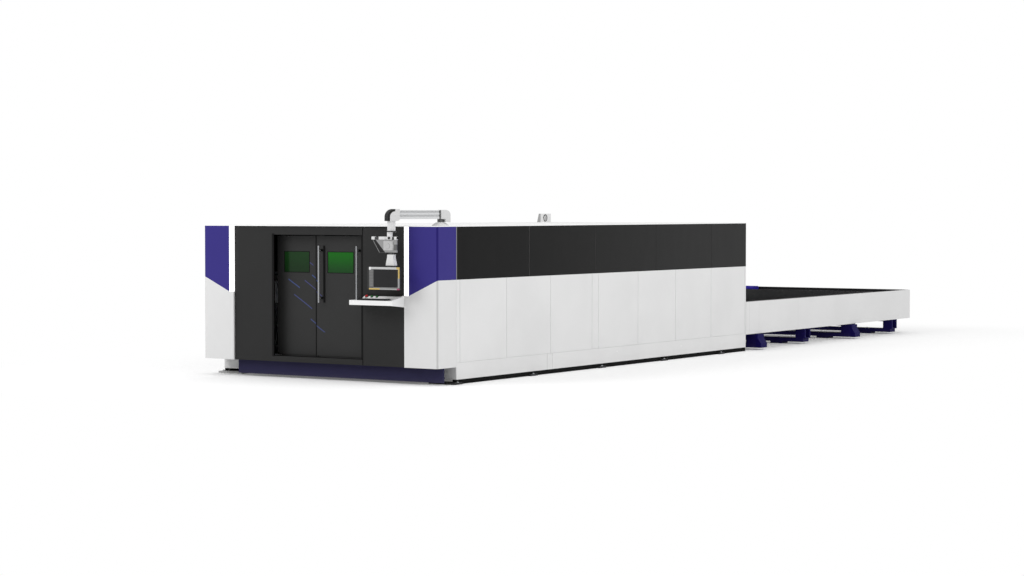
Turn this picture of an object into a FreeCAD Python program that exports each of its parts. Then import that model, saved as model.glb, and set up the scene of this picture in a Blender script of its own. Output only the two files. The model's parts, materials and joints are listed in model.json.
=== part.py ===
import FreeCAD, Part
import math
import os
import Sketcher

# Enclosed fiber laser cutting machine with a two-deck exchange table, in millimetres.
# +X is the operator's right, +Y runs from the front to the table's far end, +Z is up.
# The origin is on the floor, in the middle of the whole machine.
# Every y below is counted from the front of the towers; front_y moves it into this frame.

os.makedirs("parts", exist_ok=True)
doc = FreeCAD.newDocument("LaserCutter")
sheet = doc.addObject("Spreadsheet::Sheet", "Sizes")

SIZES = {
    # the whole machine
    "machine_width": 4470, "roof_height": 2340, "cabin_length": 9750, "table_length": 7510,
    "skin": 30, "roof_sheet": 10, "floor_gap": 70, "base_gap": 40, "pendant_reach": 330,
    # towers and front face
    "tower_width": 600, "tower_depth": 477, "tower_bottom": 255, "tower_round": 40,
    "strip_width": 83, "band_bottom": 1546, "panel_gap": 3,
    "face_thickness": 25, "face_lap": 30, "face_seam": 14,
    "base_plate_thickness": 20, "base_plate_setback": 150, "base_plate_inset": 570,
    # doors
    "door_width": 1712, "door_bottom": 340, "lintel_height": 131, "jamb_cover": 56,
    "leaf_width": 950, "trailing_width": 855, "leaf_thickness": 30,
    "leaf_setback": 175, "leaf_spacing": 10, "leaf_overlap": 75, "leaf_bottom_gap": 20,
    "leaf_top_gap": 18, "leaf_side_gap": 3, "track_end_gap": 9, "track_side": 15,
    "track_depth": 45, "guide_depth": 25, "hanger_thickness": 12, "hanger_width": 90,
    "hanger_inset": 60, "running_gap": 5, "window_centre": 475, "window_width": 475,
    "window_height": 303, "window_drop": 248, "window_rebate": 12, "pane_thickness": 10,
    "handle_length": 865, "handle_drop": 146, "handle_radius": 19, "handle_inset": 115,
    "handle_standoff": 80, "handle_post_inset": 70, "handle_post": 26,
    # sides
    "skirt_top": 325, "skirt_joint": 2980, "skirt_joint_width": 150,
    "seam_width": 8, "seam_depth": 6, "first_seam": 569, "front_panels": 3, "panel_pitch": 1256,
    "split_width": 195, "rear_panels": 4, "corner_trim": 50, "band_seams": 4, "last_band": 1338,
    "frame_depth": 60, "frame_bays": 6,
    # feet and anchors
    "foot_thickness": 30, "foot_width": 200, "foot_reach": 40, "foot_lead": 30, "last_foot": 990,
    "foot_pairs": 5, "foot_tail": 48, "jack_setback": 65, "jack_radius": 32, "anchor_radius": 9,
    "anchor_inset": 20,
    # bed and decks
    "bed_gap": 195, "bed_beam_width": 200, "bed_bottom": 160, "bed_top": 1040,
    "lower_deck": 420, "deck_rise": 320, "ledge_cover": 40, "ledge_thickness": 20,
    "wall_clearance": 20, "crossbar_height": 120, "crossbar_width": 120,
    "rail_width": 30, "rail_height": 30, "portal_margin": 30, "portal_bottom": 340,
    "portal_top": 1090,
    # gantry, carriage and head, at the parked place
    "gantry_park": 1100, "gantry_depth": 260, "gantry_lift": 60, "gantry_height": 340,
    "gantry_chamfer": 60, "block_length": 500, "block_width": 120, "cross_rail": 25,
    "cross_rail_depth": 15, "carriage_width": 300, "plate_thickness": 40, "slide_gap": 0.5,
    "head_width": 110, "head_depth": 90, "head_height": 420, "nozzle_drop": 130,
    "nozzle_length": 20, "nozzle_radius": 9, "sensor_length": 28, "sensor_radius": 20,
    "lens_length": 34, "lens_radius": 31, "barrel_length": 70, "barrel_radius": 42,
    # pallets
    "pallet_length": 6600, "pallet_gap": 110, "pallet_beam": 80, "pallet_setback": 600,
    "pallet_clearance": 50, "beam_lift": 20, "beam_height": 90, "slat_count": 20,
    "slat_thickness": 6, "slat_lift": 40, "slat_tip": 120, "tooth_height": 30, "tooth_count": 6,
    "roller_radius": 40, "roller_width": 45, "roller_lift": 0.3, "roller_inset": 528,
    # exchange table
    "leg_depth": 250, "first_leg": 530, "last_leg": 800, "leg_frames": 4,
    "foot_beam_top": 112, "foot_beam_inset": 40, "stand_inset": 535, "leg_beam_bottom": 260,
    "leg_beam_top": 340, "leg_post": 200, "leg_top": 880, "recess_width": 170,
    "recess_rim": 12, "recess_drop": 15, "recess_depth": 70, "flare_reach": 105, "flare_step": 40,
    "toe_top": 120, "flare_knee": 215, "flare_top": 285,
    "table_gap": 10, "table_skirt_bottom": 300, "skirt_sheet": 15, "skirt_fold": 40,
    "rail_step": 30, "rail_web": 40, "rail_drop": 20, "rail_flange": 80, "rail_end_gap": 380,
    "drive_width": 885, "drive_depth": 330, "drive_height": 270, "drive_rise": 15,
    # console
    "shelf_drop": 1096, "shelf_thickness": 70, "shelf_reach": 300, "shelf_width": 805,
    "cheek_width": 35, "cheek_drop": 30, "cheek_rise": 66,
    "box_inset": 100, "box_reach": 120, "box_front": 18, "box_back": 72, "box_flat": 40,
    "keyboard_inset": 140, "keyboard_margin": 30, "keyboard_width": 510,
    "keyboard_depth": 150, "keyboard_height": 18,
    "mushroom_radius": 21, "mushroom_height": 14, "button_radius": 16, "stem_half": 7,
    "stem_length": 24, "well_depth": 36, "button_rise": 7, "button_gap": 0.3,
    "button_inset": 55, "button_pitch": 95,
    # pendant arm
    "pivot_inset": 239, "arm_length": 767, "arm_turn": 235.9, "flange_half": 90,
    "flange_height": 10, "hub_half": 50, "hub_height": 50, "ring_radius": 46, "arm_lift": 102,
    "arm_height": 130,
    "arm_width": 130, "groove_depth": 13, "groove_height": 28, "groove_count": 2,
    "first_groove": 34, "groove_pitch": 57, "elbow_width": 150, "elbow_drop": 29,
    "elbow_rise": 17, "elbow_outside": 80, "elbow_inside": 107, "elbow_foot": 86,
    "elbow_round": 115, "cap_lap": 14, "cap_inner": 52, "cap_length": 132, "cap_drop": 47,
    "cap_rise": 4, "cap_round": 75, "pin_radius": 20, "pin_length": 60, "pin_clearance": 0.05,
    # drop tube, swivel, bracket and monitor, each counted down from the one above
    "tube_half": 66, "tube_width": 140, "tube_length": 145, "tube_round": 25,
    "swivel_radius": 73, "swivel_height": 16, "collar_radius": 41, "collar_length": 83,
    "collar_shift": 28,
    "bracket_bar": 45, "bracket_left": 380, "bracket_right": 105, "bracket_depth": 50,
    "bracket_web": 30, "bracket_height": 240, "bracket_step": 66, "bracket_slope": 190,
    "stay_step": 11, "stay_slope": 132, "stay_width": 14, "stay_foot": 10,
    "socket_neck": 23, "socket_height": 160, "socket_top_half": 83, "socket_bottom_half": 104,
    "socket_half_depth": 50,
    "screen_width": 570, "screen_height": 330, "screen_depth": 60, "screen_drop": 22,
    "screen_shift": 73, "screen_frame": 33, "screen_keys": 99, "screen_recess": 4,
    "monitor_offset": 109, "tilt_drop": 42, "tilt_pin_radius": 8, "ear_thickness": 20,
    "ear_gap": 0.5, "ear_drop": 32, "ear_wall": 8, "tongue_half": 67, "tongue_depth": 40,
    # roof box
    "port_box_inset": 470, "port_box_setback": 687, "port_box_length": 366,
    "port_box_height": 162, "port_box_width": 80, "port_box_top": 40, "port_radius": 54,
    "port_depth": 36, "port_offset": 165,
}

for row, (alias, size) in enumerate(SIZES.items(), start=1):
    sheet.set("A%d" % row, alias)
    sheet.set("B%d" % row, str(size))
    sheet.setAlias("B%d" % row, alias)
doc.recompute()


class Length:
    """A size worked out from the sheet: its expression and its present value."""

    def __init__(self, text, value):
        self.text = text
        self.value = value

    def _join(self, sign, other, value):
        return Length("(%s %s %s)" % (self.text, sign, length(other).text), value)

    def __add__(self, other):
        return self._join("+", other, self.value + length(other).value)

    def __sub__(self, other):
        return self._join("-", other, self.value - length(other).value)

    def __mul__(self, other):
        return self._join("*", other, self.value * length(other).value)

    def __truediv__(self, other):
        return self._join("/", other, self.value / length(other).value)

    def __radd__(self, other):
        return length(other) + self

    def __rsub__(self, other):
        return length(other) - self

    def __rmul__(self, other):
        return length(other) * self

    def __neg__(self):
        return Length("(0 - %s)" % self.text, -self.value)


def length(size):
    """Return a plain number as a Length, and a Length as it is."""
    return size if isinstance(size, Length) else Length(repr(size), float(size))


def turned(function, degrees):
    """Return the sine, cosine or tangent of an angle that the sheet holds in degrees."""
    value = getattr(math, function)(math.radians(degrees.value))
    return Length("%s(%s * 1deg)" % (function, degrees.text), value)


class Sheet:
    """Gives each named size of the sheet as a Length."""

    def __getattr__(self, alias):
        return Length("Sizes." + alias, float(SIZES[alias]))


S = Sheet()
NODES = []

# Places that several pieces share.
front_y = (S.pendant_reach - S.cabin_length - S.table_length) / 2
half = S.machine_width / 2
inner = half - S.skin
roof_under = S.roof_height - S.roof_sheet
table_end = S.cabin_length + S.table_length

tower_inner = half - S.tower_width
strip_outer = tower_inner + S.strip_width
side_front = S.tower_depth + S.panel_gap
face_back = S.skin + S.face_thickness
frame_front = side_front + S.skin

door_half = S.door_width / 2
door_top = roof_under - S.lintel_height
leaf_right = door_half - S.jamb_cover
leaf_left = leaf_right - S.leaf_width
trailing_right = leaf_left + S.leaf_overlap
trailing_left = trailing_right - S.trailing_width
leaf_bottom = S.door_bottom + S.leaf_bottom_gap
leaf_top = door_top - S.leaf_top_gap
trailing_front = S.leaf_setback + S.leaf_thickness + S.leaf_spacing
track_front = S.leaf_setback - S.track_side
track_back = trailing_front + S.leaf_thickness + S.track_side
track_bottom = door_top - S.leaf_top_gap / 2
door_travel = S.door_width - S.jamb_cover
track_left = leaf_left - door_travel - S.track_end_gap
window_top = leaf_top - S.window_drop
window_bottom = window_top - S.window_height

first_foot = frame_front - S.foot_lead
foot_pitch = (S.cabin_length - first_foot - S.last_foot) / (S.foot_pairs - 1)

bed_outer = inner - S.frame_depth - S.bed_gap
bed_inner = bed_outer - S.bed_beam_width
rail_middle = bed_inner + S.bed_beam_width / 2
pallet_half = bed_inner - S.pallet_gap
ledge_inner = pallet_half - S.ledge_cover
upper_deck = S.lower_deck + S.deck_rise
gantry_bottom = S.bed_top + S.gantry_lift
gantry_top = gantry_bottom + S.gantry_height
rail_face = S.gantry_park - S.gantry_depth / 2 - S.cross_rail_depth
carriage_face = rail_face - S.slide_gap - S.plate_thickness

# The console hangs at a set depth under the roof, as the monitor above it does, and its end
# cheek reaches up to the light strip.
shelf_top = S.roof_height - S.shelf_drop
strip_bottom = shelf_top + S.cheek_rise
shelf_left = tower_inner - S.shelf_width
box_left = shelf_left + S.box_inset

arm_bottom = S.roof_height + S.arm_lift
tube_top = arm_bottom - S.elbow_drop
tube_bottom = tube_top - S.tube_length
bracket_top = tube_bottom - S.collar_length
bracket_bottom = bracket_top - S.bracket_height
socket_top = bracket_bottom - S.socket_neck
socket_bottom = socket_top - S.socket_height
pivot_x = half - S.pivot_inset
tube_x = pivot_x + S.arm_length * turned("cos", S.arm_turn)
tube_y = S.monitor_offset - S.pendant_reach
pivot_y = tube_y - S.arm_length * turned("sin", S.arm_turn)


def bind(piece, name, size):
    """Tie a property of a piece to its size."""
    piece.setExpression(name, length(size).text)


def place(piece, x, y, z, from_front=True):
    """Put a piece's corner or centre at x, y, z, with y counted from the towers' front."""
    bind(piece, "Placement.Base.x", x)
    bind(piece, "Placement.Base.y", front_y + y if from_front else y)
    bind(piece, "Placement.Base.z", z)
    return piece


def node(piece, label):
    """Name a finished sub-part; its label is the name of its file."""
    piece.Label = label
    NODES.append(piece)
    return piece


def block(x, y, z):
    """Return a box between three pairs of places."""
    box = doc.addObject("Part::Box", "Block")
    for name, (low, high) in zip(("Length", "Width", "Height"), (x, y, z)):
        bind(box, name, high - low)
    return place(box, x[0], y[0], z[0])


TURN_Z_TO = {"x": FreeCAD.Rotation(FreeCAD.Vector(0, 1, 0), 90),
             "y": FreeCAD.Rotation(FreeCAD.Vector(1, 0, 0), -90),
             "z": FreeCAD.Rotation()}


def rod(axis, at, radius, reach):
    """Return a cylinder of the given reach that starts at a point and runs along +axis."""
    cylinder = doc.addObject("Part::Cylinder", "Rod")
    bind(cylinder, "Radius", radius)
    bind(cylinder, "Height", reach)
    cylinder.Placement = FreeCAD.Placement(FreeCAD.Vector(), TURN_Z_TO[axis])
    return place(cylinder, *at)


def hexagon(at, radius, reach):
    """Return an upright six-sided bar that starts at a point."""
    prism = doc.addObject("Part::Prism", "Hexagon")
    prism.Polygon = 6
    bind(prism, "Circumradius", radius)
    bind(prism, "Height", reach)
    return place(prism, *at)


def fused(pieces):
    """Join pieces into one."""
    union = doc.addObject("Part::MultiFuse", "Union")
    union.Shapes = pieces
    union.Refine = True
    return union


def without(base, tools):
    """Cut tools out of a base."""
    cut = doc.addObject("Part::Cut", "Cut")
    cut.Base = base
    cut.Tool = tools[0] if len(tools) == 1 else fused(tools)
    return cut


def common(first, second):
    """Return what two pieces share."""
    shared = doc.addObject("Part::Common", "Common")
    shared.Base = first
    shared.Tool = second
    return shared


def group(pieces):
    """Hold separate like solids in one sub-part."""
    compound = doc.addObject("Part::Compound", "Group")
    compound.Links = pieces
    return compound


def mirrored(piece):
    """Return the piece mirrored to the machine's other side."""
    mirror = doc.addObject("Part::Mirroring", "Mirror")
    mirror.Source = piece
    mirror.Base = FreeCAD.Vector(0, 0, 0)
    mirror.Normal = FreeCAD.Vector(1, 0, 0)
    return mirror


def pair(piece, name):
    """Make the right and the left piece of a mirrored pair."""
    node(piece, name + "_right")
    node(mirrored(piece), name + "_left")


def new_body():
    return doc.addObject("PartDesign::Body", "Body")


def draw(body, plane, outlines, offset=None):
    """Draw closed outlines on a plane of the body; each corner is bound to its sizes."""
    sketch = body.newObject("Sketcher::SketchObject", "Outline")
    base = [item for item in body.Origin.OriginFeatures if item.Role == plane + "_Plane"]
    sketch.AttachmentSupport = [(base[0], "")]
    sketch.MapMode = "FlatFace"
    if offset is not None:
        bind(sketch, "AttachmentOffset.Base.z", offset)
    for outline in outlines:
        corners = [(length(u), length(v)) for u, v in outline]
        points = [FreeCAD.Vector(u.value, v.value, 0) for u, v in corners]
        first = sketch.GeometryCount
        for start, end in zip(points, points[1:] + points[:1]):
            sketch.addGeometry(Part.LineSegment(start, end), False)
        for index in range(len(points)):
            following = first + (index + 1) % len(points)
            sketch.addConstraint(Sketcher.Constraint("Coincident", first + index, 2, following, 1))
        for index, corner in enumerate(corners):
            for direction, size in zip(("DistanceX", "DistanceY"), corner):
                rule = Sketcher.Constraint(direction, -1, 1, first + index, 1, size.value)
                number = sketch.addConstraint(rule)
                sketch.setExpression("Constraints[%d]" % number, size.text)
    return sketch


def pad(body, sketch, reach):
    """Add a pad of the sketch to the body."""
    feature = body.newObject("PartDesign::Pad", "Pad")
    feature.Profile = sketch
    bind(feature, "Length", reach)
    doc.recompute()
    return feature


def pocket(body, sketch, reach, reverse=True):
    """Cut a pocket of the sketch into the body, along the sketch's normal by default."""
    feature = body.newObject("PartDesign::Pocket", "Pocket")
    feature.Profile = sketch
    feature.Reversed = reverse
    bind(feature, "Length", reach)
    doc.recompute()
    return feature


def repeat(body, features, axis, reach, count):
    """Repeat features along one of the body's axes; the last copy is reach away."""
    pattern = body.newObject("PartDesign::LinearPattern", "Pattern")
    line = [item for item in body.Origin.OriginFeatures if item.Role == axis + "_Axis"]
    pattern.Originals = features
    pattern.Direction = (line[0], [""])
    bind(pattern, "Length", reach)
    bind(pattern, "Occurrences", count)
    body.Tip = pattern
    doc.recompute()
    return pattern


def settle(body, plane, low, high):
    """Place a body whose sketch lies on a plane, so that its pad spans low to high."""
    if plane == "XY":
        return place(body, 0, 0, low)
    if plane == "YZ":
        return place(body, low, 0, 0)
    return place(body, 0, high, 0)


def extrusion(plane, outlines, low, high):
    """Return a body padded from outlines, between two places along the plane's normal."""
    body = new_body()
    pad(body, draw(body, plane, outlines), high - low)
    return settle(body, plane, low, high)


def rounded(body, radius, keep):
    """Round the edges of a body's last feature that keep() accepts."""
    doc.recompute()
    base = body.Tip
    names = ["Edge%d" % (index + 1) for index, edge in enumerate(base.Shape.Edges) if keep(edge)]
    fillet = body.newObject("PartDesign::Fillet", "Round")
    fillet.Base = (base, names)
    bind(fillet, "Radius", radius)
    doc.recompute()
    return body


def turn_onto(body, profile):
    """Add to a body the solid of an outline in its XZ plane, turned about its own Z axis."""
    sketch = draw(body, "XZ", [profile])
    turn = body.newObject("PartDesign::Revolution", "Turn")
    turn.Profile = sketch
    turn.ReferenceAxis = (sketch, ["V_Axis"])
    turn.Angle = 360
    doc.recompute()
    return body


def rectangle(low_u, high_u, low_v, high_v):
    return [(low_u, low_v), (high_u, low_v), (high_u, high_v), (low_u, high_v)]


def square(reach):
    """Return a square round the origin whose sides lie reach away."""
    return rectangle(-reach, reach, -reach, reach)


def along(edge, axis, **places):
    """Tell whether an edge runs along an axis and lies at the given places."""
    ends = [vertex.Point for vertex in edge.Vertexes]
    if len(ends) != 2:
        return False
    run = ends[1] - ends[0]
    if abs(getattr(run, axis)) < run.Length - 0.001:
        return False
    return all(abs(abs(getattr(ends[0], name)) - size.value) < 0.01
               for name, size in places.items())


def tower_pair():
    """Cladding of the two towers: a wrapped purple upper shell over a white lower shell."""
    shell = [(tower_inner, 0), (half, 0), (half, S.tower_depth), (inner, S.tower_depth),
             (inner, S.skin), (tower_inner, S.skin)]

    def wrapped():
        body = extrusion("XY", [shell], S.tower_bottom, roof_under)
        return rounded(body, S.tower_round, lambda edge: along(edge, "z", x=half, y=length(0)))

    # The cladding's lower edge climbs from the light strip to the outer corner.
    above = [(strip_outer, strip_bottom), (half, S.band_bottom), (half, roof_under),
             (strip_outer, roof_under)]
    below = [(tower_inner, S.tower_bottom), (half, S.tower_bottom), (half, S.band_bottom),
             (strip_outer, strip_bottom), (tower_inner, strip_bottom)]
    upper_zone = extrusion("XZ", [above], length(0), S.tower_depth)
    lower_zone = extrusion("XZ", [below], length(0), S.tower_depth)
    pair(common(wrapped(), upper_zone), "tower_upper")
    pair(common(wrapped(), lower_zone), "tower_lower")
    strip = block((tower_inner, strip_outer), (length(0), S.skin), (strip_bottom, roof_under))
    node(group([strip, mirrored(strip)]), "light_strips")


def front_face():
    """Dark front face: a panel round the doorway, and the panel right of its seam."""
    panel_edge = tower_inner + S.face_lap
    seam_left = door_half - S.face_seam
    left = [(-panel_edge, S.tower_bottom), (seam_left, S.tower_bottom),
            (seam_left, S.door_bottom), (-door_half, S.door_bottom), (-door_half, door_top),
            (seam_left, door_top), (seam_left, roof_under), (-panel_edge, roof_under)]
    face = extrusion("XZ", [left], S.skin, face_back)
    lintel = block((-door_half, seam_left), (face_back, track_front),
                   (door_top, door_top + S.roof_sheet))
    node(fused([face, lintel]), "front_panel_left")
    right = rectangle(door_half, panel_edge, S.tower_bottom, roof_under)
    node(extrusion("XZ", [right], S.skin, face_back), "front_panel_right")


def front_base():
    """Navy plate under the front face, and the white plinth behind the towers."""
    plate = block((S.base_plate_inset - half, half),
                  (S.base_plate_setback, S.base_plate_setback + S.base_plate_thickness),
                  (S.base_gap, S.tower_bottom))
    node(plate, "front_base_plate")
    node(block((-inner, inner), (side_front, side_front + S.skin), (S.floor_gap, S.skirt_top)),
         "front_plinth")


def leaf(left, right, front):
    """Return a door leaf with its window opening, hangers and bottom guide fin."""
    middle = right - S.window_centre
    sides = rectangle(left, right, leaf_bottom, leaf_top)
    opening = rectangle(middle - S.window_width / 2, middle + S.window_width / 2,
                        window_bottom, window_top)
    rim = rectangle(middle - S.window_width / 2 - S.window_rebate,
                    middle + S.window_width / 2 + S.window_rebate,
                    window_bottom - S.window_rebate, window_top + S.window_rebate)
    body = new_body()
    pad(body, draw(body, "XZ", [sides, opening]), S.leaf_thickness)
    # The rebate for the pane is cut from the front, the side that the sketch's normal faces.
    pocket(body, draw(body, "XZ", [rim], S.leaf_thickness), S.window_rebate, False)
    settle(body, "XZ", front, front + S.leaf_thickness)
    tab_front = front + (S.leaf_thickness - S.hanger_thickness) / 2
    tab = (tab_front, tab_front + S.hanger_thickness)
    hangers = [block((x, x + S.hanger_width), tab, (leaf_top, track_bottom + S.track_depth
                                                    - S.running_gap))
               for x in (left + S.hanger_inset, right - S.hanger_inset - S.hanger_width)]
    fin = block((left + S.hanger_inset, right - S.hanger_inset), tab,
                (S.door_bottom - S.guide_depth + S.running_gap, leaf_bottom))
    return fused([body, fin] + hangers)


def pane(leaf_edge, front):
    """Return the laser-safe pane in the rebate of the leaf that ends at leaf_edge."""
    middle = leaf_edge - S.window_centre
    reach = S.window_width / 2 + S.window_rebate
    face = front + S.window_rebate - S.pane_thickness
    return block((middle - reach, middle + reach), (face, face + S.pane_thickness),
                 (window_bottom - S.window_rebate, window_top + S.window_rebate))


def handle(x):
    """Return a round bar handle on two square posts that stand on the leading leaf."""
    centre = S.leaf_setback - S.handle_standoff
    top = leaf_top - S.handle_drop
    bottom = top - S.handle_length
    bar = rod("z", (x, centre, bottom), S.handle_radius, S.handle_length)
    reach = S.handle_post / 2
    posts = [block((x - reach, x + reach), (centre, S.leaf_setback), (z - reach, z + reach))
             for z in (bottom + S.handle_post_inset, top - S.handle_post_inset)]
    return fused([bar] + posts)


def doors():
    """Two telescopic leaves that slide left on parallel tracks, with track, sill and jamb."""
    node(leaf(leaf_left, leaf_right, S.leaf_setback), "leading_leaf")
    node(leaf(trailing_left, trailing_right, trailing_front), "trailing_leaf")
    node(pane(leaf_right, S.leaf_setback), "leading_window")
    node(pane(trailing_right, trailing_front), "trailing_window")
    handles = [handle(x) for x in (leaf_left + S.handle_inset, leaf_right - S.handle_inset)]
    node(group(handles), "door_handles")

    jamb_right = door_half + S.face_lap
    run = (track_left, jamb_right)
    grooves = []
    fins = []
    for front in (S.leaf_setback, trailing_front):
        middle = front + S.leaf_thickness / 2
        reach = S.hanger_thickness / 2 + S.running_gap
        slot = (middle - reach, middle + reach)
        grooves.append(block(run, slot, (track_bottom, track_bottom + S.track_depth)))
        fins.append(block(run, slot, (S.door_bottom - S.guide_depth, S.door_bottom)))
    track = block(run, (track_front, track_back), (track_bottom, roof_under))
    node(without(track, grooves), "door_track")
    sill = block(run, (face_back, track_back), (S.tower_bottom, S.door_bottom))
    node(without(sill, fins), "door_sill")
    jamb = block((leaf_right + S.leaf_side_gap, jamb_right),
                 (face_back, S.leaf_setback + S.leaf_thickness), (S.door_bottom, track_bottom))
    node(jamb, "door_jamb")


def seams(places, z):
    """Return the shallow grooves that divide a side cladding into panels."""
    return [block((half - S.seam_depth, half), (y, y + S.seam_width), z) for y in places]


def side_cladding():
    """Base skirts, white lower walls and dark upper bands along both sides."""
    run = (side_front, S.cabin_length)
    skirt_z = (S.floor_gap, S.skirt_top)
    skirt = block((inner, half), run, skirt_z)
    joints = seams([S.skirt_joint, S.skirt_joint + S.skirt_joint_width], skirt_z)
    edge = block((half - S.seam_depth, half), run, (S.skirt_top - S.seam_width, S.skirt_top))
    skirt = without(skirt, joints + [edge])
    node(group([skirt, mirrored(skirt)]), "base_skirts")

    # A narrow strip parts the wall's front panels from its rear ones.
    wall_z = (S.skirt_top, S.band_bottom)
    wall = block((inner, half), run, wall_z)
    split = S.first_seam + S.panel_pitch * S.front_panels
    rear = split + S.split_width
    rear_pitch = (S.cabin_length - S.corner_trim - rear) / S.rear_panels
    places = [S.first_seam + S.panel_pitch * count for count in range(SIZES["front_panels"])]
    places += [split]
    places += [rear + rear_pitch * count for count in range(SIZES["rear_panels"] + 1)]
    pair(without(wall, seams(places, wall_z)), "side_wall")

    band_z = (S.band_bottom, roof_under)
    band = block((inner, half), run, band_z)
    band_pitch = (S.cabin_length - side_front - S.last_band) / S.band_seams
    places = [side_front + band_pitch * (count + 1) for count in range(SIZES["band_seams"])]
    pair(without(band, seams(places, band_z)), "upper_band")


def cabin_frames():
    """Welded frames inside the side walls that stand on the foot plates."""
    reach = S.cabin_length - S.skin - frame_front
    bay = (reach - S.frame_depth) / S.frame_bays
    body = new_body()
    outer = rectangle(frame_front, frame_front + reach, S.foot_thickness, roof_under)
    pad(body, draw(body, "YZ", [outer]), S.frame_depth)
    clear = (frame_front + S.frame_depth, frame_front + bay)
    bays = [rectangle(*clear, S.foot_thickness + S.frame_depth,
                      S.band_bottom - S.frame_depth / 2),
            rectangle(*clear, S.band_bottom + S.frame_depth / 2, roof_under - S.frame_depth)]
    window = pocket(body, draw(body, "YZ", bays), S.frame_depth)
    repeat(body, [window], "Y", reach - S.frame_depth - bay, S.frame_bays)
    settle(body, "YZ", inner - S.frame_depth, inner)
    pair(body, "cabin_frame")


def roof():
    """Roof sheet with folded ribs that span between the cabin frames."""
    top = block((-half, half), (length(0), S.cabin_length), (roof_under, S.roof_height))
    reach = S.cabin_length - S.skin - frame_front
    bay = (reach - S.frame_depth) / S.frame_bays
    rib_end = inner - S.frame_depth
    ribs = []
    for count in range(1, SIZES["frame_bays"]):
        y = frame_front + bay * count
        ribs.append(block((-rib_end, rib_end), (y, y + S.frame_depth),
                          (roof_under - S.frame_depth, roof_under)))
    node(fused([top] + ribs), "roof")


def rear_wall():
    """Rear wall with the portal that the pallets pass through."""
    wall = rectangle(-inner, inner, S.floor_gap, roof_under)
    reach = bed_inner + S.portal_margin
    portal = rectangle(-reach, reach, S.portal_bottom, S.portal_top)
    node(extrusion("XZ", [wall, portal], S.cabin_length - S.skin, S.cabin_length), "rear_wall")


def levelling_feet():
    """Foot plates with a jack under the bed and an anchor hole beyond the side wall."""
    feet = []
    for count in range(SIZES["foot_pairs"]):
        y = first_foot + foot_pitch * count
        plate = block((rail_middle - S.foot_tail, half + S.foot_reach),
                      (y - S.foot_width / 2, y + S.foot_width / 2), (length(0), S.foot_thickness))
        jack = hexagon((rail_middle, y + S.jack_setback, S.foot_thickness), S.jack_radius,
                       S.bed_bottom - S.foot_thickness)
        hole = rod("z", (half + S.foot_reach - S.anchor_inset, y, length(0)), S.anchor_radius,
                   S.foot_thickness)
        foot = without(fused([plate, jack]), [hole])
        feet += [foot, mirrored(foot)]
    node(group(feet), "levelling_feet")


def decked(inner_face, outer_face, bottom, top):
    """Return the section of a beam with the two ledges that carry the pallets."""
    section = [(inner_face, bottom), (outer_face, bottom), (outer_face, top), (inner_face, top)]
    for deck in (upper_deck, S.lower_deck):
        section += [(inner_face, deck), (ledge_inner, deck),
                    (ledge_inner, deck - S.ledge_thickness),
                    (inner_face, deck - S.ledge_thickness)]
    return section


def bed():
    """Machine bed: two side beams with pallet ledges, crossbars and the guide rails."""
    bed_end = S.cabin_length - S.skin - S.wall_clearance
    section = decked(bed_inner, bed_outer, S.bed_bottom, S.bed_top)
    pair(extrusion("XZ", [section], frame_front, bed_end), "bed_side")
    bars = []
    for count in range(SIZES["foot_pairs"] - 1):
        y = first_foot + foot_pitch * count + foot_pitch / 2
        bars.append(block((-bed_inner, bed_inner), (y, y + S.crossbar_width),
                          (S.bed_bottom, S.bed_bottom + S.crossbar_height)))
    node(group(bars), "bed_crossbars")
    rail = block((rail_middle - S.rail_width / 2, rail_middle + S.rail_width / 2),
                 (frame_front + S.wall_clearance, bed_end - S.wall_clearance),
                 (S.bed_top, S.bed_top + S.rail_height))
    node(group([rail, mirrored(rail)]), "guide_rails")


def gantry():
    """Cross beam on two end blocks that ride the guide rails, with two rails on its front."""
    middle = S.gantry_park
    front = middle - S.gantry_depth / 2
    back = middle + S.gantry_depth / 2
    section = [(front, gantry_bottom), (back, gantry_bottom),
               (back, gantry_top - S.gantry_chamfer), (back - S.gantry_chamfer, gantry_top),
               (front + S.gantry_chamfer, gantry_top), (front, gantry_top - S.gantry_chamfer)]
    beam = extrusion("YZ", [section], -bed_outer, bed_outer)
    lift = S.bed_top + S.running_gap
    run = (middle - S.block_length / 2, middle + S.block_length / 2)
    end = block((rail_middle - S.block_width / 2, rail_middle + S.block_width / 2), run,
                (lift, gantry_bottom))
    reach = S.rail_width / 2 + S.slide_gap
    groove = block((rail_middle - reach, rail_middle + reach), run,
                   (lift, S.bed_top + S.rail_height + S.slide_gap))
    shoe = without(end, [groove])
    rails = [block((-ledge_inner, ledge_inner), (rail_face, front), (z, z + S.cross_rail))
             for z in cross_rail_places()]
    node(fused([beam, shoe, mirrored(shoe)] + rails), "gantry_beam")


def cross_rail_places():
    """Return the heights of the two rails on the beam's front."""
    return gantry_bottom + S.gantry_chamfer, gantry_top - S.gantry_chamfer - S.cross_rail


def head_carriage():
    """Carriage plate in front of the beam; its lips grip both cross rails."""
    back = rail_face - S.slide_gap
    side = S.carriage_width / 2
    tall = (gantry_bottom, gantry_top)
    plate = block((-side, side), (carriage_face, back), tall)
    lip_back = rail_face + S.cross_rail_depth - S.slide_gap
    lips = []
    for z in cross_rail_places():
        for low in (z - S.slide_gap - S.cross_rail, z + S.cross_rail + S.slide_gap):
            lips.append(block((-side, side), (back, lip_back), (low, low + S.cross_rail)))
    post = S.head_width / 2 + S.slide_gap
    guides = [block((x, x + S.cross_rail), (carriage_face - S.cross_rail, carriage_face), tall)
              for x in (-post - S.cross_rail, post)]
    node(fused([plate] + lips + guides), "head_carriage")


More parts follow.
